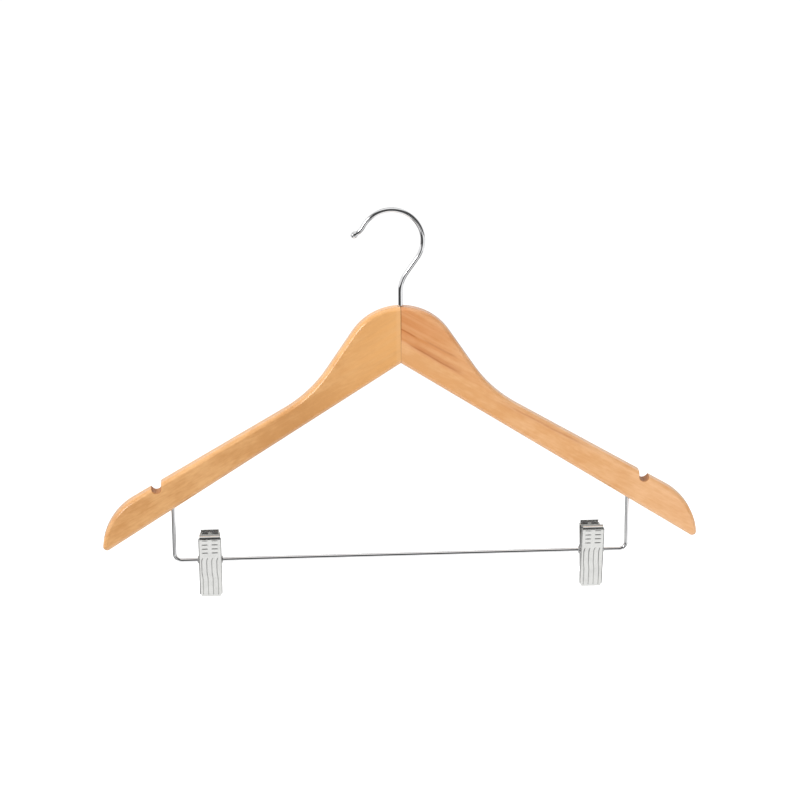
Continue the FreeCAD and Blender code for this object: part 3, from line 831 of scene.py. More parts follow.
@dataclass
class Shoulders:
    """The two wooden boards that are glued together under the hook.

    Attributes:
        crown_radius: Radius of the crown over the seam.
        flank_angle: Slope of the crown's flank in degrees.
        neck_radius: Radius of the hollow between the flank and the arm.
        top_angle: Slope of the arm's top in degrees.
        top_offset: Distance of the arm's top from the foot of the seam.
        under_angle: Slope of the underside in degrees.
        end_radius: Radius of the arm's round end.
        tip_radius: Radius of its tip.
        crown_rise: Height of the seam.
        edge_round: Rounding of the boards' long edges.
        edge_profile: Shape of that rounding: a half is an arc, a quarter a plain chamfer.
        notch_inset: Distance of the strap notch from the board's end.
        notch_width: Width of the notch.
        notch_depth: Depth of the notch.
        soft_edge: Rounding of the notch's edges.
        seam_chamfer: Chamfer of the edges along the seam.
        bore_clearance: Gap round the bush and the bar in their bores.
        stem_hole: Radius of the hole for the hook's stem above the bush.
    """

    crown_radius: float = 42.7 * MM
    flank_angle: float = 56.0
    neck_radius: float = 96.5 * MM
    top_angle: float = 30.3
    top_offset: float = 14.0 * MM
    under_angle: float = 32.7
    end_radius: float = 47.8 * MM
    tip_radius: float = 3.0 * MM
    crown_rise: float = 42.5 * MM
    edge_round: float = 2.8 * MM
    edge_profile: float = 0.37
    notch_inset: float = 41.0 * MM
    notch_width: float = 7.2 * MM
    notch_depth: float = 5.7 * MM
    soft_edge: float = 0.45 * MM
    seam_chamfer: float = 0.15 * MM
    bore_clearance: float = 0.05 * MM
    stem_hole: float = 2.1 * MM

    def __post_init__(self) -> None:
        """Read the levels and the reach from the frame."""
        low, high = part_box("right_shoulder")
        self.half_width = CAD_BOX[1].x
        self.thickness = high.y - low.y
        self.foot = Vector((0.0, 0.0, high.z - self.crown_rise))

    @staticmethod
    def _slope(angle: float) -> tuple[Vector, Vector]:
        """Give the way down a slope to the right and the normal above it, for its angle in degrees."""
        turn = math.radians(angle)
        return (Vector((math.cos(turn), 0.0, -math.sin(turn))), Vector((math.sin(turn), 0.0, math.cos(turn))))

    def _trace_outline(self) -> None:
        """Trace the right board from its crest over the neck, the arm and the tip to the seam's foot."""
        flank_way, flank_normal = self._slope(self.flank_angle)
        top_way, top_normal = self._slope(self.top_angle)
        under_way, under_normal = self._slope(self.under_angle)
        crown_centre = self.foot + Vector((0.0, 0.0, self.crown_rise - self.crown_radius))
        crown_end = crown_centre + flank_normal * self.crown_radius
        drop = (crown_end - self.foot).dot(top_normal) - self.top_offset
        to_corner = -drop / flank_way.dot(top_normal)
        turn = self.flank_angle - self.top_angle
        tangent = self.neck_radius * math.tan(math.radians(turn / 2))
        neck_end = crown_end + flank_way * to_corner + top_way * tangent
        end_start_across = self.half_width - self.end_radius + self.end_radius * top_normal.x
        arm_length = (end_start_across - neck_end.x) / top_way.x
        end_centre = neck_end + top_way * arm_length - top_normal * self.end_radius

        # The tip's arc touches the end's arc from within and the underside from above
        from_end = self.foot + under_normal * self.tip_radius - end_centre
        linear = from_end.dot(under_way)
        reach = self.end_radius - self.tip_radius
        under_length = -linear + math.sqrt(linear**2 - from_end.length_squared + reach**2)
        to_tip = from_end + under_way * under_length
        tip_heading = math.degrees(math.atan2(to_tip.z, to_tip.x)) - 90.0

        tracer = Tracer(self.foot + Vector((0.0, 0.0, self.crown_rise)), 0.0)
        tracer.bend(self.crown_radius, -self.flank_angle)
        tracer.straight(to_corner - tangent)
        tracer.bend(self.neck_radius, turn)
        tracer.straight(arm_length)
        tracer.bend(self.end_radius, tip_heading + self.top_angle)
        tracer.bend(self.tip_radius, -180.0 - self.under_angle - tip_heading)
        tracer.straight(under_length)

    def notch_middle(self) -> Vector:
        """Give the middle of the round floor of the right board's notch.

        Returns:
            The middle, halfway through the board.
        """
        across = self.half_width - self.notch_inset
        _, top_normal = self._slope(self.top_angle)
        top_level = self.foot.z + (self.top_offset - across * top_normal.x) / top_normal.z
        return Vector((across, 0.0, top_level - self.notch_depth + self.notch_width / 2))

    def _notch_cutter(self) -> bpy.types.Object:
        """Stretch a ring upwards into a slot with a round floor, and extrude it through the board.

        Returns:
            The cutter.
        """
        centre = self.notch_middle()
        piece = Workpiece.ring("notch_cutter", self.notch_width / 2, centre, (QUARTER, 0.0, 0.0))
        piece.move((0.0, -self.thickness, 0.0))
        piece.pick_points(lambda place: place.z > centre.z + NEAR)
        piece.move((0.0, 0.0, 2 * self.notch_width))
        bpy.ops.mesh.select_all(action="SELECT")
        bpy.ops.mesh.edge_face_add()
        piece.extrude((0.0, 2 * self.thickness, 0.0))
        return piece.close()

    def _swivel_cutter(self) -> bpy.types.Object:
        """Raise a ring through the chamber of the hook's head, the bush's bore and the stem's hole.

        Returns:
            The cutter.
        """
        bush_low, bush_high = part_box("swivel_bush")
        chamber_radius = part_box("swivel_washer")[1].x + self.bore_clearance
        bore_radius = bush_high.x + self.bore_clearance
        chamber_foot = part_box("hook_wire")[0].z - self.edge_round / 2
        piece = Workpiece.ring("swivel_cutter", chamber_radius, Vector((0.0, 0.0, chamber_foot)))
        bpy.ops.mesh.edge_face_add()
        level = chamber_foot
        radius = chamber_radius
        steps = ((bush_low.z, bore_radius), (bush_high.z + self.bore_clearance, self.stem_hole))
        for next_level, next_radius in steps:
            piece.extrude((0.0, 0.0, next_level - level))
            piece.extrude((0.0, 0.0, 0.0))
            piece.scale(next_radius / radius, Vector((0.0, 0.0, next_level)))
            level = next_level
            radius = next_radius
        piece.extrude((0.0, 0.0, 2 * self.edge_round + self.foot.z + self.crown_rise - level))
        return piece.close()

    def _leg_cutter(self) -> bpy.types.Object:
        """Raise a ring up the blind hole for the bar's leg.

        Returns:
            The cutter.
        """
        bar_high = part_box("clip_bar")[1]
        wire_radius = bar_high.y
        centre = Vector((bar_high.x - wire_radius, 0.0, bar_high.z + self.soft_edge))
        piece = Workpiece.ring("leg_cutter", wire_radius + self.bore_clearance, centre)
        bpy.ops.mesh.edge_face_add()
        piece.extrude((0.0, 0.0, -self.crown_rise))
        return piece.close()

    def build(self) -> dict[Side, bpy.types.Object]:
        """Saw, round and bore the right board, and mirror it.

        Returns:
            The two boards.
        """
        half = self.thickness / 2
        crest = self.foot + Vector((0.0, -half, self.crown_rise))
        piece = Workpiece.point("board", crest)
        self._trace_outline()
        bpy.ops.mesh.select_all(action="SELECT")
        bpy.ops.mesh.edge_face_add()
        piece.extrude((0.0, self.thickness, 0.0))

        def on_rim(start: Vector, end: Vector) -> bool:
            """Tell the outline's edges on the two faces from the edges across and along the seam.

            Args:
                start: Place of the edge's start.
                end: Place of its end.

            Returns:
                Whether it is one of the outline's edges.
            """
            across = abs(start.y - end.y) > NEAR
            along_seam = abs(start.x) < NEAR and abs(end.x) < NEAR
            return not across and not along_seam

        piece.pick_edges(on_rim)
        piece.round_edges(self.edge_round, 7, self.edge_profile)
        board = piece.close()
        for cutter in (self._notch_cutter(), self._swivel_cutter(), self._leg_cutter()):
            carve(board, cutter)

        take_up(board)
        bpy.ops.object.mode_set(mode="EDIT")
        notch = self.half_width - self.notch_inset
        piece.pick_creases(30.0, lambda place: abs(place.x - notch) < self.notch_width)
        piece.round_edges(self.soft_edge, 3)
        piece.pick_creases(30.0, lambda place: abs(place.x) < NEAR and
                           (abs(place.y) > self.thickness / 4 or place.z < self.foot.z + NEAR))
        piece.round_edges(self.seam_chamfer, 2)
        piece.close()
        boards = {
            Side.RIGHT: set_down(board, "right_board", Matrix.Identity(4)),
            Side.LEFT: set_down(board, "left_board", Matrix.Scale(-1.0, 4, (1.0, 0.0, 0.0)), mirrored=True),
        }
        bpy.data.objects.remove(board)
        for board in boards.values():
            smooth(board, 35.0)
        return boards

    def dress(self, boards: dict[Side, bpy.types.Object], finishes: dict[Side, bpy.types.Material],
              steel: bpy.types.Material) -> None:
        """Lacquer the boards and finish the swivel's bush and washer.

        Args:
            boards: The two boards.
            finishes: Their finishes.
            steel: Finish of the bush and the washer.
        """
        for side, board in boards.items():
            dress(board, finishes[side], "shoulders", f"{side.label}_shoulder")
        for node in ("swivel_bush", "swivel_washer"):
            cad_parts[node].data.materials[0] = steel


@dataclass
class Hook:
    """The swivel hook, bent from one wire with a ball on its free end.

    Attributes:
        radius: Radius of the hook's circle, to the wire's middle.
        offset: How far the circle's middle lies to the left of the swivel axis.
        lean: Lean of the run between the stem and the circle, in degrees from upright.
        bend_radius: Radius of the bend above the stem.
        flare_start: Where the circle ends, in degrees anticlockwise from the right.
        flare_turn: Turn of the flare at the free end, in degrees.
        flare_radius: Radius of the flare.
        wire: Diameter of the wire.
        ball_radius: Radius of the ball.
        head_height: Height of the head that keeps the hook in the crown.
        head_chamfer: Chamfer of the head, as a share of its radius.
        ball_steps: Number of rings round the ball.
    """

    radius: float = 22.9 * MM
    offset: float = 6.5 * MM
    lean: float = 35.1
    bend_radius: float = 24.0 * MM
    flare_start: float = 151.5
    flare_turn: float = 38.0
    flare_radius: float = 13.9 * MM
    wire: float = 3.6 * MM
    ball_radius: float = 2.6 * MM
    head_height: float = 1.6 * MM
    head_chamfer: float = 0.12
    ball_steps: int = 14

    def build(self) -> bpy.types.Object:
        """Bend the wire from its head up to the ball.

        Returns:
            The hook.
        """
        low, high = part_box("hook_wire")
        wire_radius = self.wire / 2
        head_radius = high.y
        centre = Vector((-self.offset, 0.0, high.z - wire_radius - self.radius))
        lean = math.radians(self.lean)
        lean_end = centre + Vector((math.cos(lean), 0.0, -math.sin(lean))) * self.radius
        lean_length = lean_end.x / math.sin(lean)
        tangent = self.bend_radius * math.tan(lean / 2)
        stem_top = lean_end.z - lean_length * math.cos(lean) - tangent

        chamfer = self.head_chamfer * head_radius
        foot = Vector((0.0, 0.0, low.z))
        piece = Workpiece.ring("hook", head_radius - chamfer, foot)
        bpy.ops.mesh.edge_face_add()
        piece.extrude((0.0, 0.0, chamfer))
        piece.scale(head_radius / (head_radius - chamfer), foot + Vector((0.0, 0.0, chamfer)))
        piece.extrude((0.0, 0.0, self.head_height - chamfer))
        top = foot + Vector((0.0, 0.0, self.head_height))
        piece.extrude((0.0, 0.0, 0.0))
        piece.scale(wire_radius / head_radius, top)
        bpy.ops.mesh.delete(type="ONLY_FACE")
        piece.pick_points(lambda place: abs(place.z - top.z) < NEAR and place.xy.length < wire_radius + NEAR)

        tracer = Tracer(top, 90.0)
        tracer.straight(stem_top - top.z)
        tracer.bend(self.bend_radius, -self.lean)
        tracer.straight(lean_length - tangent)
        tracer.bend(self.radius, self.flare_start + self.lean)
        neck = math.asin(wire_radius / self.ball_radius)
        neck_turn = math.degrees(self.ball_radius * math.cos(neck) / self.flare_radius)
        tracer.bend(self.flare_radius, neck_turn - self.flare_turn)
        self._roll_ball(piece, tracer, neck)
        hook = piece.close()
        smooth(hook, 50.0)
        return hook

    def _roll_ball(self, piece: Workpiece, tracer: Tracer, neck: float) -> None:
        """Widen the wire's end over a ball, ring by ring, and draw the last ring together.

        Args:
            piece: The hook, with the wire's end selected.
            tracer: The tracer at the wire's end.
            neck: Angle of the wire's end on the ball, from the pole behind it.
        """
        ring = self.ball_radius * math.sin(neck)
        along = -self.ball_radius * math.cos(neck)
        for step in range(1, self.ball_steps + 1):
            angle = neck + (math.pi - neck) * step / (self.ball_steps + 0.2)
            next_ring = self.ball_radius * math.sin(angle)
            next_along = -self.ball_radius * math.cos(angle)
            tracer.straight(next_along - along)
            piece.scale(next_ring / ring, tracer.place)
            ring = next_ring
            along = next_along
        bpy.ops.mesh.merge(type="COLLAPSE")

    def dress(self, hook: bpy.types.Object, chrome: bpy.types.Material) -> None:
        """Plate the hook."""
        dress(hook, chrome, "hook", "hook_wire")


@dataclass
class ClipBar:
    """The chrome wire below the boards that the clips slide on.

    Attributes:
        bend_radius: Radius of the bends between the bar and its legs, to the wire's middle.
        end_chamfer: Chamfer of the wire's cut ends.
    """

    bend_radius: float = 5.5 * MM
    end_chamfer: float = 0.3 * MM

    def build(self) -> bpy.types.Object:
        """Bend the wire from the top of the left leg to the top of the right one.

        Returns:
            The bar.
        """
        low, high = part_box("clip_bar")
        wire_radius = high.y
        span = high.x - low.x - 2 * wire_radius
        leg = high.z - low.z - wire_radius - self.bend_radius
        start = Vector((low.x + wire_radius, 0.0, high.z))
        piece = Workpiece.ring("bar", wire_radius, start)
        tracer = Tracer(start, -90.0)
        tracer.straight(leg)
        tracer.bend(self.bend_radius, 90.0)
        tracer.straight(span - 2 * self.bend_radius)
        tracer.bend(self.bend_radius, 90.0)
        tracer.straight(leg)
        for side in Side:
            piece.pick_points(lambda place: abs(place.z - high.z) < NEAR and place.x * side.value > 0)
            bpy.ops.mesh.edge_face_add()
            bpy.ops.mesh.inset(thickness=self.end_chamfer)
            piece.move((0.0, 0.0, self.end_chamfer / 2))
        bar = piece.close()
        smooth(bar, 50.0)
        return bar

    def dress(self, bar: bpy.types.Object, chrome: bpy.types.Material) -> None:
        """Plate the bar."""
        dress(bar, chrome, "shoulders", "clip_bar")


@dataclass
class Jaw:
    """One pressed jaw in its own frame: the plate stands upright in front of the pivot, which is the X axis.

    Attributes:
        width: Width over the flanges.
        handle: Height of the handle above the pivot.
        groove_first: Place of the first long groove.
        top_curl: How far the grooves' upper ends curl sideways.
        sheet: Thickness of the sheet.
        stand: Distance of the plate's outer face from the pivot.
        length: Length of the jaw below the pivot.
        lean: Lean of the jaw on the clip, in degrees.
        lip: Depth of the turned-in lip.
        ear_radius: Radius of the ears round the pivot.
        split: Half the gap between the two jaws' flanges.
        relief: Levels of the relief in the flange, below the pivot.
        relief_depth: Depth of the relief.
        relief_step: Half the height over which the relief's ends step in.
        bend: Radius of the flanges' bends.
        lip_bend: Radius of the lip's bend.
        lip_turn: Angle through which the lip is folded, in degrees.
        flange_round: Rounding of the flanges' upper corners.
        tongue: Height of the plate's tongue below the flanges.
        corner: Radius of the tongue's corners.
        edge_round: Rounding of the sheet's cut edges.
        press: Depth of the pressed lines.
        pivot_hole: Radius of the hole for the pivot tube.
        dash_length: Length of the short bars, which lie in two columns.
        dash_width: Their width.
        dash_spread: Distance between the columns.
        dash_rows: Number of rows.
        dash_pitch: Distance between the rows.
        dash_drop: Distance of the first row below the top.
        groove_width: Width of the long grooves.
        groove_pitch: Distance between them.
        groove_count: Their number.
        groove_span: Levels of their ends.
        groove_shift: How far they step sideways at half height.
        shift_span: Levels between which they step.
        end_taper: Length over which a pressed line runs out.
        curl_height: Height over which the grooves' upper ends curl.
    """

    width: float
    handle: float
    groove_first: float
    top_curl: float
    sheet: float = 0.7 * MM
    stand: float = 8.0 * MM
    length: float = 27.5 * MM
    lean: float = 11.0
    lip: float = 4.0 * MM
    ear_radius: float = 4.2 * MM
    split: float = 0.5 * MM
    relief: tuple[float, float] = (12.5 * MM, 16.5 * MM)
    relief_depth: float = 1.9 * MM
    relief_step: float = 0.15 * MM
    bend: float = 0.9 * MM
    lip_bend: float = 2.4 * MM
    lip_turn: float = 88.0
    flange_round: float = 1.5 * MM
    tongue: float = 2.0 * MM
    corner: float = 1.1 * MM
    edge_round: float = 0.12 * MM
    press: float = 0.3 * MM
    pivot_hole: float = 2.28 * MM
    dash_length: float = 4.7 * MM
    dash_width: float = 0.8 * MM
    dash_spread: float = 7.4 * MM
    dash_rows: int = 4
    dash_pitch: float = 3.5 * MM
    dash_drop: float = 2.7 * MM
    groove_width: float = 0.7 * MM
    groove_pitch: float = 3.74 * MM
    groove_count: int = 4
    groove_span: tuple[float, float] = (6.4 * MM, -25.6 * MM)
    groove_shift: float = 0.65 * MM
    shift_span: tuple[float, float] = (-5.8 * MM, -12.4 * MM)
    end_taper: float = 0.5 * MM
    curl_height: float = 3.6 * MM

    # Section of a pressed line: places over its width and shares of its depth
    PROFILE = ((-0.5, 0.0), (-0.25, 0.7), (0.0, 1.0), (0.25, 0.7), (0.5, 0.0))
    SHIFT_STEPS = 6
    EAR_STEPS = 16
    CORNER_STEPS = 5
    FLANGE_STEPS = 4
    FLANGE_BEND_STEPS = 5
    LIP_BEND_STEPS = 6

    def _grooves(self) -> list[float]:
        """List the places of the grooves at the top."""
        return [self.groove_first + self.groove_pitch * index for index in range(self.groove_count)]

    def _dash_levels(self) -> list[float]:
        """List the levels of the short bars' middles."""
        first = self.handle - self.dash_drop - self.dash_width / 2
        return [first - self.dash_pitch * row for row in range(self.dash_rows)]

    def _dash_ends(self) -> list[tuple[float, float]]:
        """List the ends of the short bars in each column."""
        half = self.dash_length / 2
        return [(middle - half, middle + half) for middle in (-self.dash_spread / 2, self.dash_spread / 2)]

    def _score(self, piece: Workpiece) -> None:
        """Score the plate along every line that is pressed or bent later.

        Args:
            piece: The flat plate.
        """
        columns = [place + share * self.groove_width
                   for place in self._grooves() for share, _ in self.PROFILE]
        for start, end in self._dash_ends():
            columns += [start, start + self.end_taper, end - self.end_taper, end]
        rows = [level + share * self.dash_width for level in self._dash_levels() for share, _ in self.PROFILE]
        top, foot = self.groove_span
        rows += [top - self.curl_height * step / self.SHIFT_STEPS for step in range(self.SHIFT_STEPS + 1)]
        rows += [top - self.end_taper, foot, foot + self.end_taper]
        start, end = self.shift_span
        rows += [start + (end - start) * step / self.SHIFT_STEPS for step in range(self.SHIFT_STEPS + 1)]
        rows += [self.ear_radius * math.cos(math.pi * step / self.EAR_STEPS)
                 for step in range(self.EAR_STEPS + 1)]
        flange_top = self.handle - self.lip_bend
        rows += [flange_top - self.flange_round * (1 - math.cos(QUARTER * step / self.FLANGE_STEPS))
                 for step in range(1, self.FLANGE_STEPS + 1)]
        for level in self.relief:
            rows += [-level + self.relief_step, -level - self.relief_step]
        rows += [self.tongue - self.length]
        rows += [self.corner * (1 - math.cos(QUARTER * step / self.CORNER_STEPS)) - self.length
                 for step in range(1, self.CORNER_STEPS + 1)]
        for column in sorted(set(columns)):
            piece.cut((column, 0.0, 0.0), (1.0, 0.0, 0.0))
        for row in sorted(set(rows)):
            piece.cut((0.0, 0.0, row), (0.0, 0.0, 1.0))

    def _press(self, piece: Workpiece) -> None:
        """Press the short bars and the long grooves into the plate, then curl and shift the grooves.

        Args:
            piece: The scored plate.
        """
        top, foot = self.groove_span
        for place in self._grooves():
            for share, depth in self.PROFILE:
                column = place + share * self.groove_width
                piece.pick_points(lambda point: abs(point.x - column) < NEAR and
                                  foot + NEAR < point.z < top - NEAR)
                piece.move((0.0, depth * self.press, 0.0))
        for level in self._dash_levels():
            for share, depth in self.PROFILE:
                row = level + share * self.dash_width
                for start, end in self._dash_ends():
                    piece.pick_points(lambda point: abs(point.z - row) < NEAR and
                                      start + NEAR < point.x < end - NEAR and point.y < NEAR - self.stand)
                    piece.move((0.0, depth * self.press, 0.0))
        start, end = self.shift_span
        inner = self.width / 2 - self.bend - NEAR
        for level in piece.levels(lambda point: point.z < top + NEAR):
            share = min(1.0, max(0.0, (start - level) / (start - end)))
            below_top = min(1.0, (top - level) / self.curl_height)
            shift = share * share * (3 - 2 * share) * self.groove_shift + (1 - below_top) ** 2 * self.top_curl
            piece.pick_points(lambda point: abs(point.z - level) < NEAR and abs(point.x) < inner)
            piece.move((shift, 0.0, 0.0))

    def _free_edge(self, level: float) -> float:
        """Give the place of the flange's free edge at a level.

        Args:
            level: The level, above the pivot.

        Returns:
            The free edge's place along y.
        """
        slope = math.tan(math.radians(self.lean))
        top = self.handle - self.lip_bend
        handle_edge = self.lip - self.stand
        if level > self.ear_radius:
            edge = handle_edge * (level - self.ear_radius) / (top - self.ear_radius)
            below_top = min(1.0, max(0.0, (top - level) / self.flange_round))
            return edge - self.flange_round * (1 - math.sqrt(1 - (1 - below_top) ** 2))
        if level > -self.ear_radius:
            return math.sqrt(max(0.0, self.ear_radius**2 - level**2))
        relief_top, relief_foot = self.relief
        beside = level * slope - self.split
        if level > -relief_top:
            share = (-self.ear_radius - level) / (relief_top - self.ear_radius)
            return share * (-relief_top * slope - self.split)
        if level > -relief_foot:
            return beside - self.relief_depth
        return beside

    def _fold(self, piece: Workpiece) -> None:
        """Bend the flanges and the lip inwards and round the lower corners.

        Args:
            piece: The pressed plate.
        """
        half = self.width / 2 - self.bend
        inside = self.bend - self.stand

        tongue_top = self.tongue - self.length - NEAR
        for side in Side:
            piece.pick_edges(lambda start, end: all(abs(place.x * side.value - half) < NEAR and
                                                    place.z > tongue_top for place in (start, end)))
            bpy.ops.mesh.spin(steps=self.FLANGE_BEND_STEPS, angle=-side.value * QUARTER,
                              center=(side.value * half, inside, 0.0), axis=(0.0, 0.0, 1.0))
            piece.extrude((0.0, self.sheet, 0.0))
        rim = inside + self.sheet
        for level in piece.levels(lambda place: abs(place.y - rim) < NEAR):
            piece.pick_points(lambda place: abs(place.y - rim) < NEAR and abs(place.z - level) < NEAR)
            piece.move((0.0, self._free_edge(level) - rim, 0.0))

        top = self.handle - self.lip_bend
        piece.pick_edges(lambda start, end: all(abs(place.z - top) < NEAR and abs(place.x) < half + NEAR and
                                                abs(place.y + self.stand) < NEAR for place in (start, end)))
        turn = math.radians(self.lip_turn)
        bpy.ops.mesh.spin(steps=self.LIP_BEND_STEPS, angle=turn,
                          center=(0.0, self.lip_bend - self.stand, top), axis=(1.0, 0.0, 0.0))
        lip_way = Vector((0.0, math.sin(turn), math.cos(turn)))
        piece.extrude(lip_way * (self.lip - self.lip_bend))

        for level in piece.levels(lambda place: place.z < self.corner - self.length - NEAR):
            above = level + self.length
            trim = self.corner - math.sqrt(max(0.0, self.corner**2 - (self.corner - above) ** 2))
            piece.pick_points(lambda place: abs(place.z - level) < NEAR)
            piece.scale(1 - trim / half, Vector((0.0, -self.stand, level)))

    def _mark_pressed(self, obj: bpy.types.Object) -> None:
        """Keep how deep each point of the plate is pressed, for the finish's painted shade; the grooves'
        painted shade fades downwards.

        Args:
            obj: The pressed plate.
        """
        attribute = obj.data.attributes.new("pressed", "FLOAT", "POINT")
        top, foot = self.groove_span
        for point, mark in zip(obj.data.vertices, attribute.data):
            height = min(1.0, (point.co.z - foot) / (top - foot))
            mark.value = max(0.0, (point.co.y + self.stand) / self.press) * (0.4 + 0.6 * height)

    def build(self, name: str) -> bpy.types.Object:
        """Press, fold and pierce the jaw in its own frame.

        Args:
            name: The piece's name.

        Returns:
            The jaw.
        """
        flat = self.width - 2 * self.bend
        piece = Workpiece.sheet(name, flat, -self.length, self.handle - self.lip_bend, -self.stand)
        self._score(piece)
        self._press(piece)
        bpy.ops.object.mode_set(mode="OBJECT")
        self._mark_pressed(piece.obj)
        bpy.ops.object.mode_set(mode="EDIT")
        self._fold(piece)
        jaw = piece.close()
        plate = [face for face in jaw.data.polygons if face.center.y < NEAR - self.stand]
        inwards = -1.0 if sum(face.normal.y for face in plate) < 0 else 1.0
        apply_modifier(jaw, "SOLIDIFY", thickness=self.sheet, offset=inwards)
        carve(jaw, self._hole_cutter())
        soften(jaw, self.edge_round, 60.0)
        smooth(jaw, 45.0)
        return jaw

    def _hole_cutter(self) -> bpy.types.Object:
        """Extrude a ring along the pivot, through both ears.

        Returns:
            The cutter.
        """
        start = Vector((-self.width, 0.0, 0.0))
        piece = Workpiece.ring("hole_cutter", self.pivot_hole, start, (0.0, QUARTER, 0.0))
        bpy.ops.mesh.edge_face_add()
        piece.extrude((2 * self.width, 0.0, 0.0))
        return piece.close()


@dataclass
class Lining:
    """A jaw's ribbed rubber lining, in the jaw's own frame.

    Attributes:
        width: Its width.
        inner_face: Place of the plate's inner face.
        foot: Level of its lower edge.
        height: Its height.
        lean: Lean of the jaw, in degrees.
        blank: Thickness of the sheet that it is moulded from.
        gap: Half the gap to the other lining.
        rib_pitch: Distance between its ribs.
        rib_depth: Depth of the valleys between them.
        soft_edge: Rounding of its edges.
    """

    width: float = 13.5 * MM
    inner_face: float = -7.3 * MM
    foot: float = -26.9 * MM
    height: float = 9.0 * MM
    lean: float = 11.0
    blank: float = 0.5 * MM
    gap: float = 0.15 * MM
    rib_pitch: float = 1.5 * MM
    rib_depth: float = 0.45 * MM
    soft_edge: float = 0.25 * MM

    def build(self) -> bpy.types.Object:
        """Mould the wedge, with ribs across its gripping face.

        Returns:
            The lining.
        """
        top = self.foot + self.height
        piece = Workpiece.sheet("lining", self.width, self.foot, top, self.inner_face)
        count = round(self.height / self.rib_pitch) * 4
        for step in range(1, count):
            piece.cut((0.0, 0.0, self.foot + self.height * step / count), (0.0, 0.0, 1.0))
        bpy.ops.mesh.select_all(action="SELECT")
        piece.extrude((0.0, self.blank, 0.0))
        slope = math.tan(math.radians(self.lean))
        gap = self.gap / math.cos(math.radians(self.lean))
        grip = self.inner_face + self.blank
        for level in piece.levels(lambda place: abs(place.y - grip) < NEAR):
            wave = 0.5 - 0.5 * math.cos(2 * math.pi * (level - self.foot) / self.rib_pitch)
            piece.pick_points(lambda place: abs(place.y - grip) < NEAR and abs(place.z - level) < NEAR)
            piece.move((0.0, level * slope - gap - self.rib_depth * (1 - wave) - grip, 0.0))
        lining = piece.close()
        soften(lining, self.soft_edge, 55.0)
        smooth(lining, 50.0)
        return lining


@dataclass
class LeafSpring:
    """The spring leaf folded round the pivot tube, whose legs push the handles apart, in the clip's frame.

    Attributes:
        width: Width of the leaf.
        thickness: Its thickness.
        fold_radius: Radius of the fold, to the leaf's middle.
        stand_off: Distance of the legs' tips from the pivot, square to the handle.
        reach: How far up the handle the tips lie.
        leg_steps: Number of steps along a leg.
        edge_round: Rounding of the leaf's edges.
        lean: Lean of the jaws, in degrees.
    """

    width: float = 9.0 * MM
    thickness: float = 0.5 * MM
    fold_radius: float = 2.75 * MM
    stand_off: float = 6.75 * MM
    reach: float = 15.0 * MM
    leg_steps: int = 6
    edge_round: float = 0.1 * MM
    lean: float = 11.0

    def build(self) -> bpy.types.Object:
        """Trace the leaf from tip to tip, widen it to a strip and give it its thickness.

        Returns:
            The spring.
        """
        lean = math.radians(self.lean)
        tip_across = self.stand_off * math.cos(lean) + self.reach * math.sin(lean)
        tip_up = self.reach * math.cos(lean) - self.stand_off * math.sin(lean)
        tip = Vector((-tip_across, -self.width / 2, tip_up))
        distance = math.hypot(tip_across, tip_up)
        leave = math.atan2(tip_up, tip_across) - math.acos(self.fold_radius / distance)
        leg = math.sqrt(distance**2 - self.fold_radius**2)
        piece = Workpiece.point("spring", tip)
        tracer = Tracer(tip, -90.0 - math.degrees(leave))
        for _ in range(self.leg_steps):
            tracer.straight(leg / self.leg_steps)
        tracer.bend(self.fold_radius, 180.0 + 2 * math.degrees(leave))
        for _ in range(self.leg_steps):
            tracer.straight(leg / self.leg_steps)
        bpy.ops.mesh.select_all(action="SELECT")
        piece.extrude((0.0, self.width, 0.0))
        spring = piece.close()
        apply_modifier(spring, "SOLIDIFY", thickness=self.thickness, offset=0.0, use_even_offset=True)
        soften(spring, self.edge_round, 60.0)
        smooth(spring, 45.0)
        spring.data.transform(Matrix.Rotation(QUARTER, 4, "Z"))
        return spring


@dataclass
class PivotTube:
    """The tubular rivet that a clip swings on, in the clip's frame.

    Attributes:
        bore: Radius of its bore.
        radius: Radius of the tube.
        rim_radius: Radius of its rolled rims.
        rim: Thickness of a rim.
        half_length: Half its length over the rims.
        roll: Rounding of the rims.
        sides: Number of steps round the tube.
        roll_step: Largest step of the rims' rounding, in degrees.
    """

    bore: float
    half_length: float
    radius: float = 2.2 * MM
    rim_radius: float = 2.8 * MM
    rim: float = 0.8 * MM
    roll: float = 0.3 * MM
    sides: int = 48
    roll_step: float = 18.0

    def build(self) -> bpy.types.Object:
        """Trace half of the wall round its rolled rim, spin it about the bar and mirror it.

        Returns:
            The tube.
        """
        start = Vector((0.0, 0.0, self.bore))
        piece = Workpiece.point("pivot_tube", start)
        tracer = Tracer(start, 0.0)
        tracer.straight(self.half_length - self.roll)
        tracer.bend(self.roll, 90.0, self.roll_step)
        tracer.straight(self.rim_radius - self.bore - 2 * self.roll)
        tracer.bend(self.roll, 90.0, self.roll_step)
        tracer.straight(self.rim - 2 * self.roll)
        tracer.bend(self.roll, 90.0, self.roll_step)
        tracer.straight(self.rim_radius - self.radius - self.roll)
        tracer.bend(self.roll / 3, -90.0, 30.0)
        tracer.straight(tracer.place.x)
        bpy.ops.mesh.select_all(action="SELECT")
        bpy.ops.mesh.spin(steps=self.sides, angle=2 * math.pi, center=(0.0, 0.0, 0.0), axis=(1.0, 0.0, 0.0))
        tube = piece.close()
        apply_modifier(tube, "MIRROR", use_axis=(True, False, False))
        bpy.ops.object.mode_set(mode="EDIT")
        piece.close()
        smooth(tube, 50.0)
        return tube


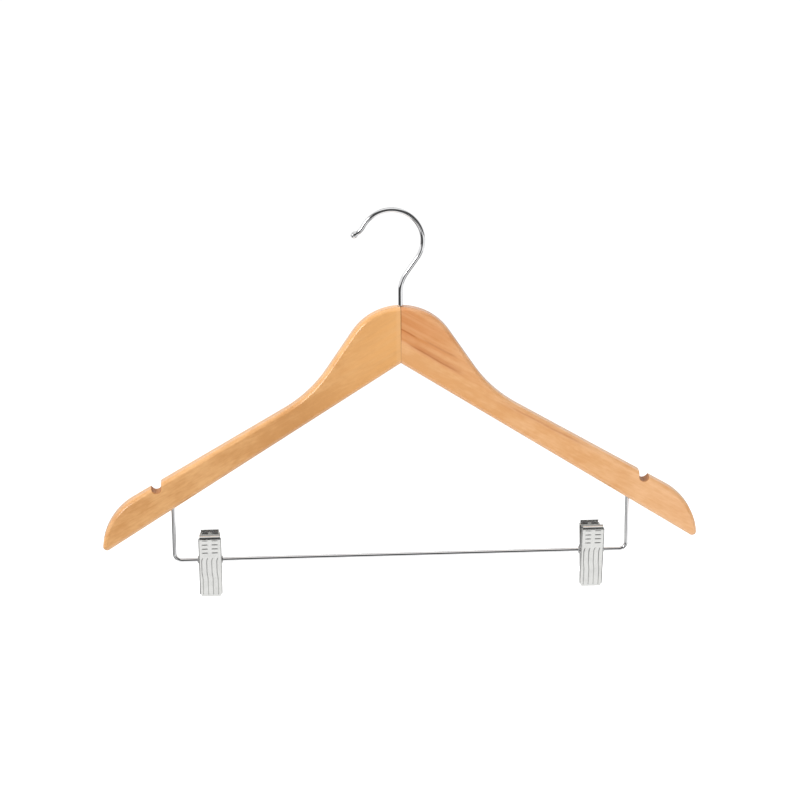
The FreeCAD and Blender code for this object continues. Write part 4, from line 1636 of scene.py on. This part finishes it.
@dataclass
class Clips:
    """The two clips on the bar, each of two jaws with linings, a spring and a pivot tube.

    Attributes:
        lean: Lean of the jaws, in degrees.
        bar_clearance: Gap round the bar in the pivot tubes.
        fold_half: Half the depth over which a spring's fold bends; not used.
    """

    lean: float = 11.0
    bar_clearance: float = 0.1 * MM
    fold_half: float = 2.4 * MM

    # Height of the handle, place of the first long groove and curl of the grooves' upper ends
    JAW_FORMS = {
        Face.FRONT: (24.2 * MM, -6.4 * MM, 1.0 * MM),
        Face.BACK: (21.8 * MM, -5.9 * MM, 0.6 * MM),
    }

    def _placement(self, side: Side, face: Face | None) -> Matrix:
        """Give the placement of a clip's piece: on the bar, and leaning with a jaw if one is named.

        Args:
            side: The clip.
            face: The jaw, or None for a piece in the clip's frame.

        Returns:
            The placement.
        """
        low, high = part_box(f"{side.label}_pivot_tube")
        placement = Matrix.Translation((low + high) / 2)
        if face is Face.BACK:
            placement = placement @ Matrix.Rotation(math.pi, 4, "Z")
        if face is not None:
            placement = placement @ Matrix.Rotation(math.radians(self.lean), 4, "X")
        return placement

    def build(self) -> dict[str, bpy.types.Object]:
        """Model each kind of piece once.

        Returns:
            The models, by kind.
        """
        models = {}
        for face in Face:
            low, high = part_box(f"left_{face.value}_jaw")
            jaw = Jaw(high.x - low.x, *self.JAW_FORMS[face])
            models[f"{face.value}_jaw"] = jaw.build(f"{face.value}_jaw")
        models["lining"] = Lining().build()
        models["spring"] = LeafSpring().build()
        low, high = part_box("left_pivot_tube")
        bar_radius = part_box("clip_bar")[1].y
        models["pivot_tube"] = PivotTube(bar_radius + self.bar_clearance, (high.x - low.x) / 2).build()
        return models

    def dress(self, models: dict[str, bpy.types.Object], plate: bpy.types.Material,
              rubber: bpy.types.Material, steel: bpy.types.Material,
              spring_steel: bpy.types.Material) -> None:
        """Set the copies down on the bar, finish them and remove the models.

        Args:
            models: The models, by kind.
            plate: Finish of the jaws.
            rubber: Finish of the linings.
            steel: Finish of the pivot tubes.
            spring_steel: Finish of the springs.
        """
        for side in Side:
            name = side.label
            for face in Face:
                body = f"{name}_clip_{face.value}"
                placement = self._placement(side, face)
                jaw = set_down(models[f"{face.value}_jaw"], f"{name}_{face.value}_clip_jaw", placement)
                dress(jaw, plate, body, f"{name}_{face.value}_jaw")
                lining = set_down(models["lining"], f"{name}_{face.value}_lining", placement)
                dress(lining, rubber, body, f"{name}_{face.value}_pad")
            placement = self._placement(side, None)
            tube = set_down(models["pivot_tube"], f"{name}_rivet", placement)
            dress(tube, steel, f"{name}_carrier", f"{name}_pivot_tube")
            spring = set_down(models["spring"], f"{name}_leaf_spring", placement)
            self._dress_spring(spring, side, spring_steel)
        for model in models.values():
            bpy.data.objects.remove(model)

    def _dress_spring(self, spring: bpy.types.Object, side: Side,
                      finish: bpy.types.Material) -> None:
        """Finish a spring and hide the CAD spring that it stands for.

        Args:
            spring: The spring.
            side: Its clip.
            finish: The spring's finish.
        """
        name = side.label
        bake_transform(spring)
        stand_in(spring, finish, f"{name}_spring")
        LOG.info("%s: %d faces, bends between the jaws", spring.name, len(spring.data.polygons))


@dataclass(frozen=True)
class Zone:
    """A soft-edged zone of the studio, as bright metal mirrors it.

    Attributes:
        across: Where the zone starts and is whole along X, for each of its edges.
        aside: The same for the distance to either side.
        depth: The same along Y.
        height: The same along Z.
    """

    across: tuple[Span, ...] = ()
    aside: tuple[Span, ...] = ()
    depth: tuple[Span, ...] = ()
    height: tuple[Span, ...] = ()

    def mark(self, place: tuple[Value, Value, Value]) -> Value:
        """Mark the zone.

        Args:
            place: The place in the studio, along each axis.

        Returns:
            A share of 1 inside the zone and 0 outside it.
        """
        across, depth, height = place
        rises = [across.rise(*span) for span in self.across]
        rises += [abs(across).rise(*span) for span in self.aside]
        rises += [depth.rise(*span) for span in self.depth]
        rises += [height.rise(*span) for span in self.height]
        return math.prod(rises[1:], start=rises[0])


@dataclass
class Studio:
    """Camera, soft light and a white sweep.

    Attributes:
        azimuth: How far the camera stands to the left of the front, in degrees.
        elevation: How far it looks down, in degrees.
        roll: How far the picture leans to the left, in degrees.
        distance: Distance from the camera to the foot of the seam, along its view.
        aim: Where the view's middle passes the foot of the seam, to its right and above it.
        focal: Focal length over the picture's width.
        sensor: Width of the camera's sensor in millimetres.
        floor_drop: Depth of the floor below the hanger.
        floor_size: Width of the floor.
    """

    azimuth: float = 3.6
    elevation: float = 17.4
    roll: float = 0.25
    distance: float = 1.875
    aim: tuple[float, float] = (-0.6 * MM, -27.9 * MM)
    focal: float = 3.199
    sensor: float = 36.0
    floor_drop: float = 0.55
    floor_size: float = 14.0

    KEY_OFFSET = Vector((-1.35, -1.35, 0.7))

    # Each soft box's place from the seam's foot, its width and its power
    SOFT_BOXES = {
        "key": (KEY_OFFSET, 1.1, 16.2),
        "fill": (Vector((1.5, -1.4, 0.35)), 1.3, 14.3),
        "top": (Vector((-1.0, 0.1, 1.2)), 1.2, 18.0),
        "rear": (Vector((0.7, 1.7, 0.5)), 1.2, 7.0),
    }

    # The room by the direction of the view, and how bright metal shows its front, back, flag and key light
    ROOM_WALL = Zone(across=((-0.42, -0.6),), height=((0.8, 0.5),))
    ROOM_FRONT = Zone(depth=((0.3, 0.0),), height=((-0.3, -0.05), (0.95, 0.7)))
    ROOM_BACK = Zone(depth=((0.55, 0.85),), height=((0.25, 0.1),))
    ROOM_FLAG = Zone(aside=((0.45, 0.25),), depth=((0.35, 0.55),), height=((0.3, 0.45), (0.95, 0.85)))
    WALL_SHARE = 0.85
    FRONT_SHADE = 0.93
    BACK_SHADE = 0.35
    FLAG_SHADE = 0.6
    KEY_GLARE = 6.0
    KEY_CONE = (12.0, 3.0)
    AMBIENT = 0.5

    # The floor in metres from its middle, its paint, its glow in the picture, and how bright metal shows it
    FLOOR_CARD = Zone(across=((0.5, 0.9),))
    FLOOR_SIDES = Zone(aside=((0.4, 0.55), (1.5, 1.3)), depth=((-0.7, -0.5),))
    FLOOR_LENS = Zone(aside=((0.55, 0.4),), depth=((-1.0, -1.2),))
    FLOOR_LEFT = Zone(across=((-1.3, -1.0),))
    FLOOR_FRONT = Zone(depth=((0.5, 0.0),))
    FLOOR_BACK = Zone(depth=((1.2, 1.8),))
    FLOOR_FLAG = Zone(aside=((0.8, 0.5),), depth=((1.1, 1.5),))
    FLOOR_REACH = (2.4, 2.0)
    FLOOR_PAINT = (0.9, 0.9, 0.9, 1.0)
    FLOOR_GLOW = 0.6
    FLOOR_SHEEN = 0.95
    FLOOR_FRONT_SHADE = 0.9
    FLOOR_BACK_SHADE = 0.4
    FLOOR_FLAG_SHADE = 0.48

    def build(self, foot: Vector) -> None:
        """Set up the camera, the lamps, the world and the floor.

        Args:
            foot: The foot of the boards' seam.
        """
        bpy.context.scene.view_settings.view_transform = "Standard"
        self._camera(foot)
        self._lamps(foot)
        self._world()
        self._floor()

    def _camera(self, foot: Vector) -> None:
        """Stand the camera where the photograph was taken from.

        Args:
            foot: The foot of the boards' seam.
        """
        azimuth = math.radians(self.azimuth)
        elevation = math.radians(self.elevation)
        roll = math.radians(self.roll)
        right = Vector((math.cos(azimuth), -math.sin(azimuth), 0.0))
        up = Vector((math.sin(elevation) * math.sin(azimuth), math.sin(elevation) * math.cos(azimuth),
                     math.cos(elevation)))
        forward = up.cross(right)
        place = foot + right * self.aim[0] + up * self.aim[1] - forward * self.distance
        leaning_right = right * math.cos(roll) - up * math.sin(roll)
        leaning_up = up * math.cos(roll) + right * math.sin(roll)
        data = bpy.data.cameras.new("camera")
        data.sensor_width = self.sensor
        data.lens = self.focal * self.sensor
        data.clip_start = 0.05
        camera = bpy.data.objects.new("camera", data)
        bpy.context.scene.collection.objects.link(camera)
        turn = Matrix((leaning_right, leaning_up, -forward)).transposed()
        camera.matrix_world = Matrix.Translation(place) @ turn.to_4x4()
        bpy.context.scene.camera = camera

    def _lamps(self, foot: Vector) -> None:
        """Hang soft boxes at the upper left, at the right, overhead and behind.

        Args:
            foot: The foot of the boards' seam.
        """
        for name, (offset, size, watts) in self.SOFT_BOXES.items():
            data = bpy.data.lights.new(name, "AREA")
            data.shape = "SQUARE"
            data.size = size
            data.energy = watts
            lamp = bpy.data.objects.new(name, data)
            lamp.location = foot + offset
            lamp.rotation_mode = "QUATERNION"
            lamp.rotation_quaternion = (-offset).to_track_quat("-Z", "Y")
            lamp.visible_glossy = False
            bpy.context.scene.collection.objects.link(lamp)

    def _world(self) -> None:
        """Fill the studio with white, and leave it dark round the camera, as bright metal shows it."""
        world = bpy.data.worlds.new("studio")
        bpy.context.scene.world = world
        world.use_nodes = True
        graph = Graph(world.node_tree)
        way = graph.node("ShaderNodeTexCoord", {}, {}).outputs["Generated"]
        place = graph.parts(way)
        rays = graph.node("ShaderNodeLightPath", {}, {}).outputs
        seen = Value(graph, rays["Is Camera Ray"])
        mirrored = Value(graph, rays["Is Glossy Ray"]) + Value(graph, rays["Is Transmission Ray"])
        front = self.ROOM_FRONT.mark(place) * (1.0 - self.ROOM_WALL.mark(place) * self.WALL_SHARE)
        facing_key = graph.value("ShaderNodeVectorMath", {"operation": "DOT_PRODUCT"},
                                 {0: way, 1: self.KEY_OFFSET.normalized()}, "Value")
        key_box = facing_key.rise(*(math.cos(math.radians(angle)) for angle in self.KEY_CONE))
        shaded = 1.0 - front * self.FRONT_SHADE - self.ROOM_BACK.mark(place) * self.BACK_SHADE
        shaded = shaded - self.ROOM_FLAG.mark(place) * self.FLAG_SHADE
        reflected = shaded + key_box * self.KEY_GLARE
        light = seen + (1.0 - seen) * (mirrored * reflected + (1.0 - mirrored) * self.AMBIENT)
        background = graph.node("ShaderNodeBackground", {}, {"Color": light})
        graph.node("ShaderNodeOutputWorld", {}, {"Surface": background.outputs[0]})

    def _floor(self) -> None:
        """Lay a pale floor that the camera sees as white, with the hanger's shadow on it, and that glows with
        painted light and shade where bright metal mirrors it.
        """
        level = CAD_BOX[0].z - self.floor_drop
        bpy.ops.object.select_all(action="DESELECT")
        bpy.ops.mesh.primitive_plane_add(size=self.floor_size, location=(0.0, 0.0, level))
        floor = bpy.context.object
        floor.name = "floor"
        material = bpy.data.materials.new("pale_floor")
        material.use_nodes = True
        graph = Graph(material.node_tree)
        rays = graph.node("ShaderNodeLightPath", {}, {}).outputs
        place = graph.parts(graph.place())
        seen = Value(graph, rays["Is Camera Ray"])
        mirrored = Value(graph, rays["Is Glossy Ray"])
        reach = graph.value("ShaderNodeVectorMath", {"operation": "LENGTH"}, {0: graph.place()}, "Value")
        open_floor = 1.0 - self.FLOOR_SIDES.mark(place)
        near = reach.rise(*self.FLOOR_REACH) * self.FLOOR_LEFT.mark(place)
        near = near * (1.0 - self.FLOOR_LENS.mark(place))
        front = (1.0 - near * open_floor) * self.FLOOR_FRONT.mark(place)
        front = front * (1.0 - self.FLOOR_CARD.mark(place) * open_floor)
        # Painted light and shade: mirrored rays see this glow in place of the lit floor
        light = self.FLOOR_SHEEN - front * self.FLOOR_FRONT_SHADE
        light = light - self.FLOOR_BACK.mark(place) * self.FLOOR_BACK_SHADE
        light = light - self.FLOOR_FLAG.mark(place) * self.FLOOR_FLAG_SHADE
        paint = graph.node("ShaderNodeBsdfDiffuse", {}, {"Color": self.FLOOR_PAINT})
        sheen = graph.node("ShaderNodeEmission", {}, {"Color": light})
        glow = graph.node("ShaderNodeEmission", {}, {"Color": seen * self.FLOOR_GLOW})
        sweep = graph.node("ShaderNodeAddShader", {}, {0: paint.outputs[0], 1: glow.outputs[0]})
        both = graph.node("ShaderNodeMixShader", {}, {0: mirrored, 1: sweep.outputs[0], 2: sheen.outputs[0]})
        graph.node("ShaderNodeOutputMaterial", {}, {"Surface": both.outputs[0]})
        floor.data.materials.append(material)


def wood_finishes(shoulders: Shoulders) -> dict[Side, bpy.types.Material]:
    """Make the two boards' finishes: a yellower left board and a redder right one with streaks.

    Args:
        shoulders: The boards, which give the place of the notches.

    Returns:
        The materials of the two boards.
    """
    notch = {"notch": shoulders.notch_middle(), "notch_radius": shoulders.notch_width / 2}
    left = LacqueredWood(
        name="honey_lacquer", side=Side.LEFT,
        pale=srgb(225, 173, 116), deep=srgb(202, 145, 87),
        crown=srgb(234, 174, 107), crown_share=0.85, crown_edge=-1.0,
        streak=srgb(186, 122, 62), streaks=(), sapwood=0.3,
        low_shade=0.45, low_reach=(0.16, 0.08), **notch,
    )
    right = LacqueredWood(
        name="amber_lacquer", side=Side.RIGHT,
        pale=srgb(238, 186, 135), deep=srgb(224, 164, 106),
        crown=srgb(209, 134, 76), crown_share=0.85, crown_edge=-83.2 * MM,
        streak=srgb(170, 88, 38),
        streaks=((-82.1 * MM, 1.0 * MM, 49.0 * MM, 100.0 * MM, 0.55),
                 (-81.2 * MM, 3.0 * MM, 52.0 * MM, 104.0 * MM, 0.26),
                 (-75.2 * MM, 0.9 * MM, 36.0 * MM, 58.0 * MM, 0.6),
                 (-73.6 * MM, 1.2 * MM, 60.0 * MM, 92.0 * MM, 0.35),
                 (-87.2 * MM, 1.1 * MM, 136.0 * MM, 214.0 * MM, 0.32),
                 (-87.5 * MM, 4.0 * MM, 118.0 * MM, 226.0 * MM, 0.14)),
        sapwood=0.0, low_shade=0.6, low_reach=(0.095, 0.055), **notch,
    )
    return {Side.LEFT: left.make(), Side.RIGHT: right.make()}


def main() -> None:
    """Build and dress every piece, then set up the studio."""
    logging.basicConfig(level=logging.INFO, format="%(message)s")
    steel = ZINC.make()

    shoulders = Shoulders()
    shoulders.dress(shoulders.build(), wood_finishes(shoulders), steel)
    plating = CHROME.make()
    hook = Hook()
    hook.dress(hook.build(), plating)
    bar = ClipBar()
    bar.dress(bar.build(), plating)
    clips = Clips()
    clips.dress(clips.build(), NICKEL.make(), RUBBER.make(), steel, SPRING_STEEL.make())
    Studio().build(shoulders.foot)


if __name__ == "__main__":
    main()
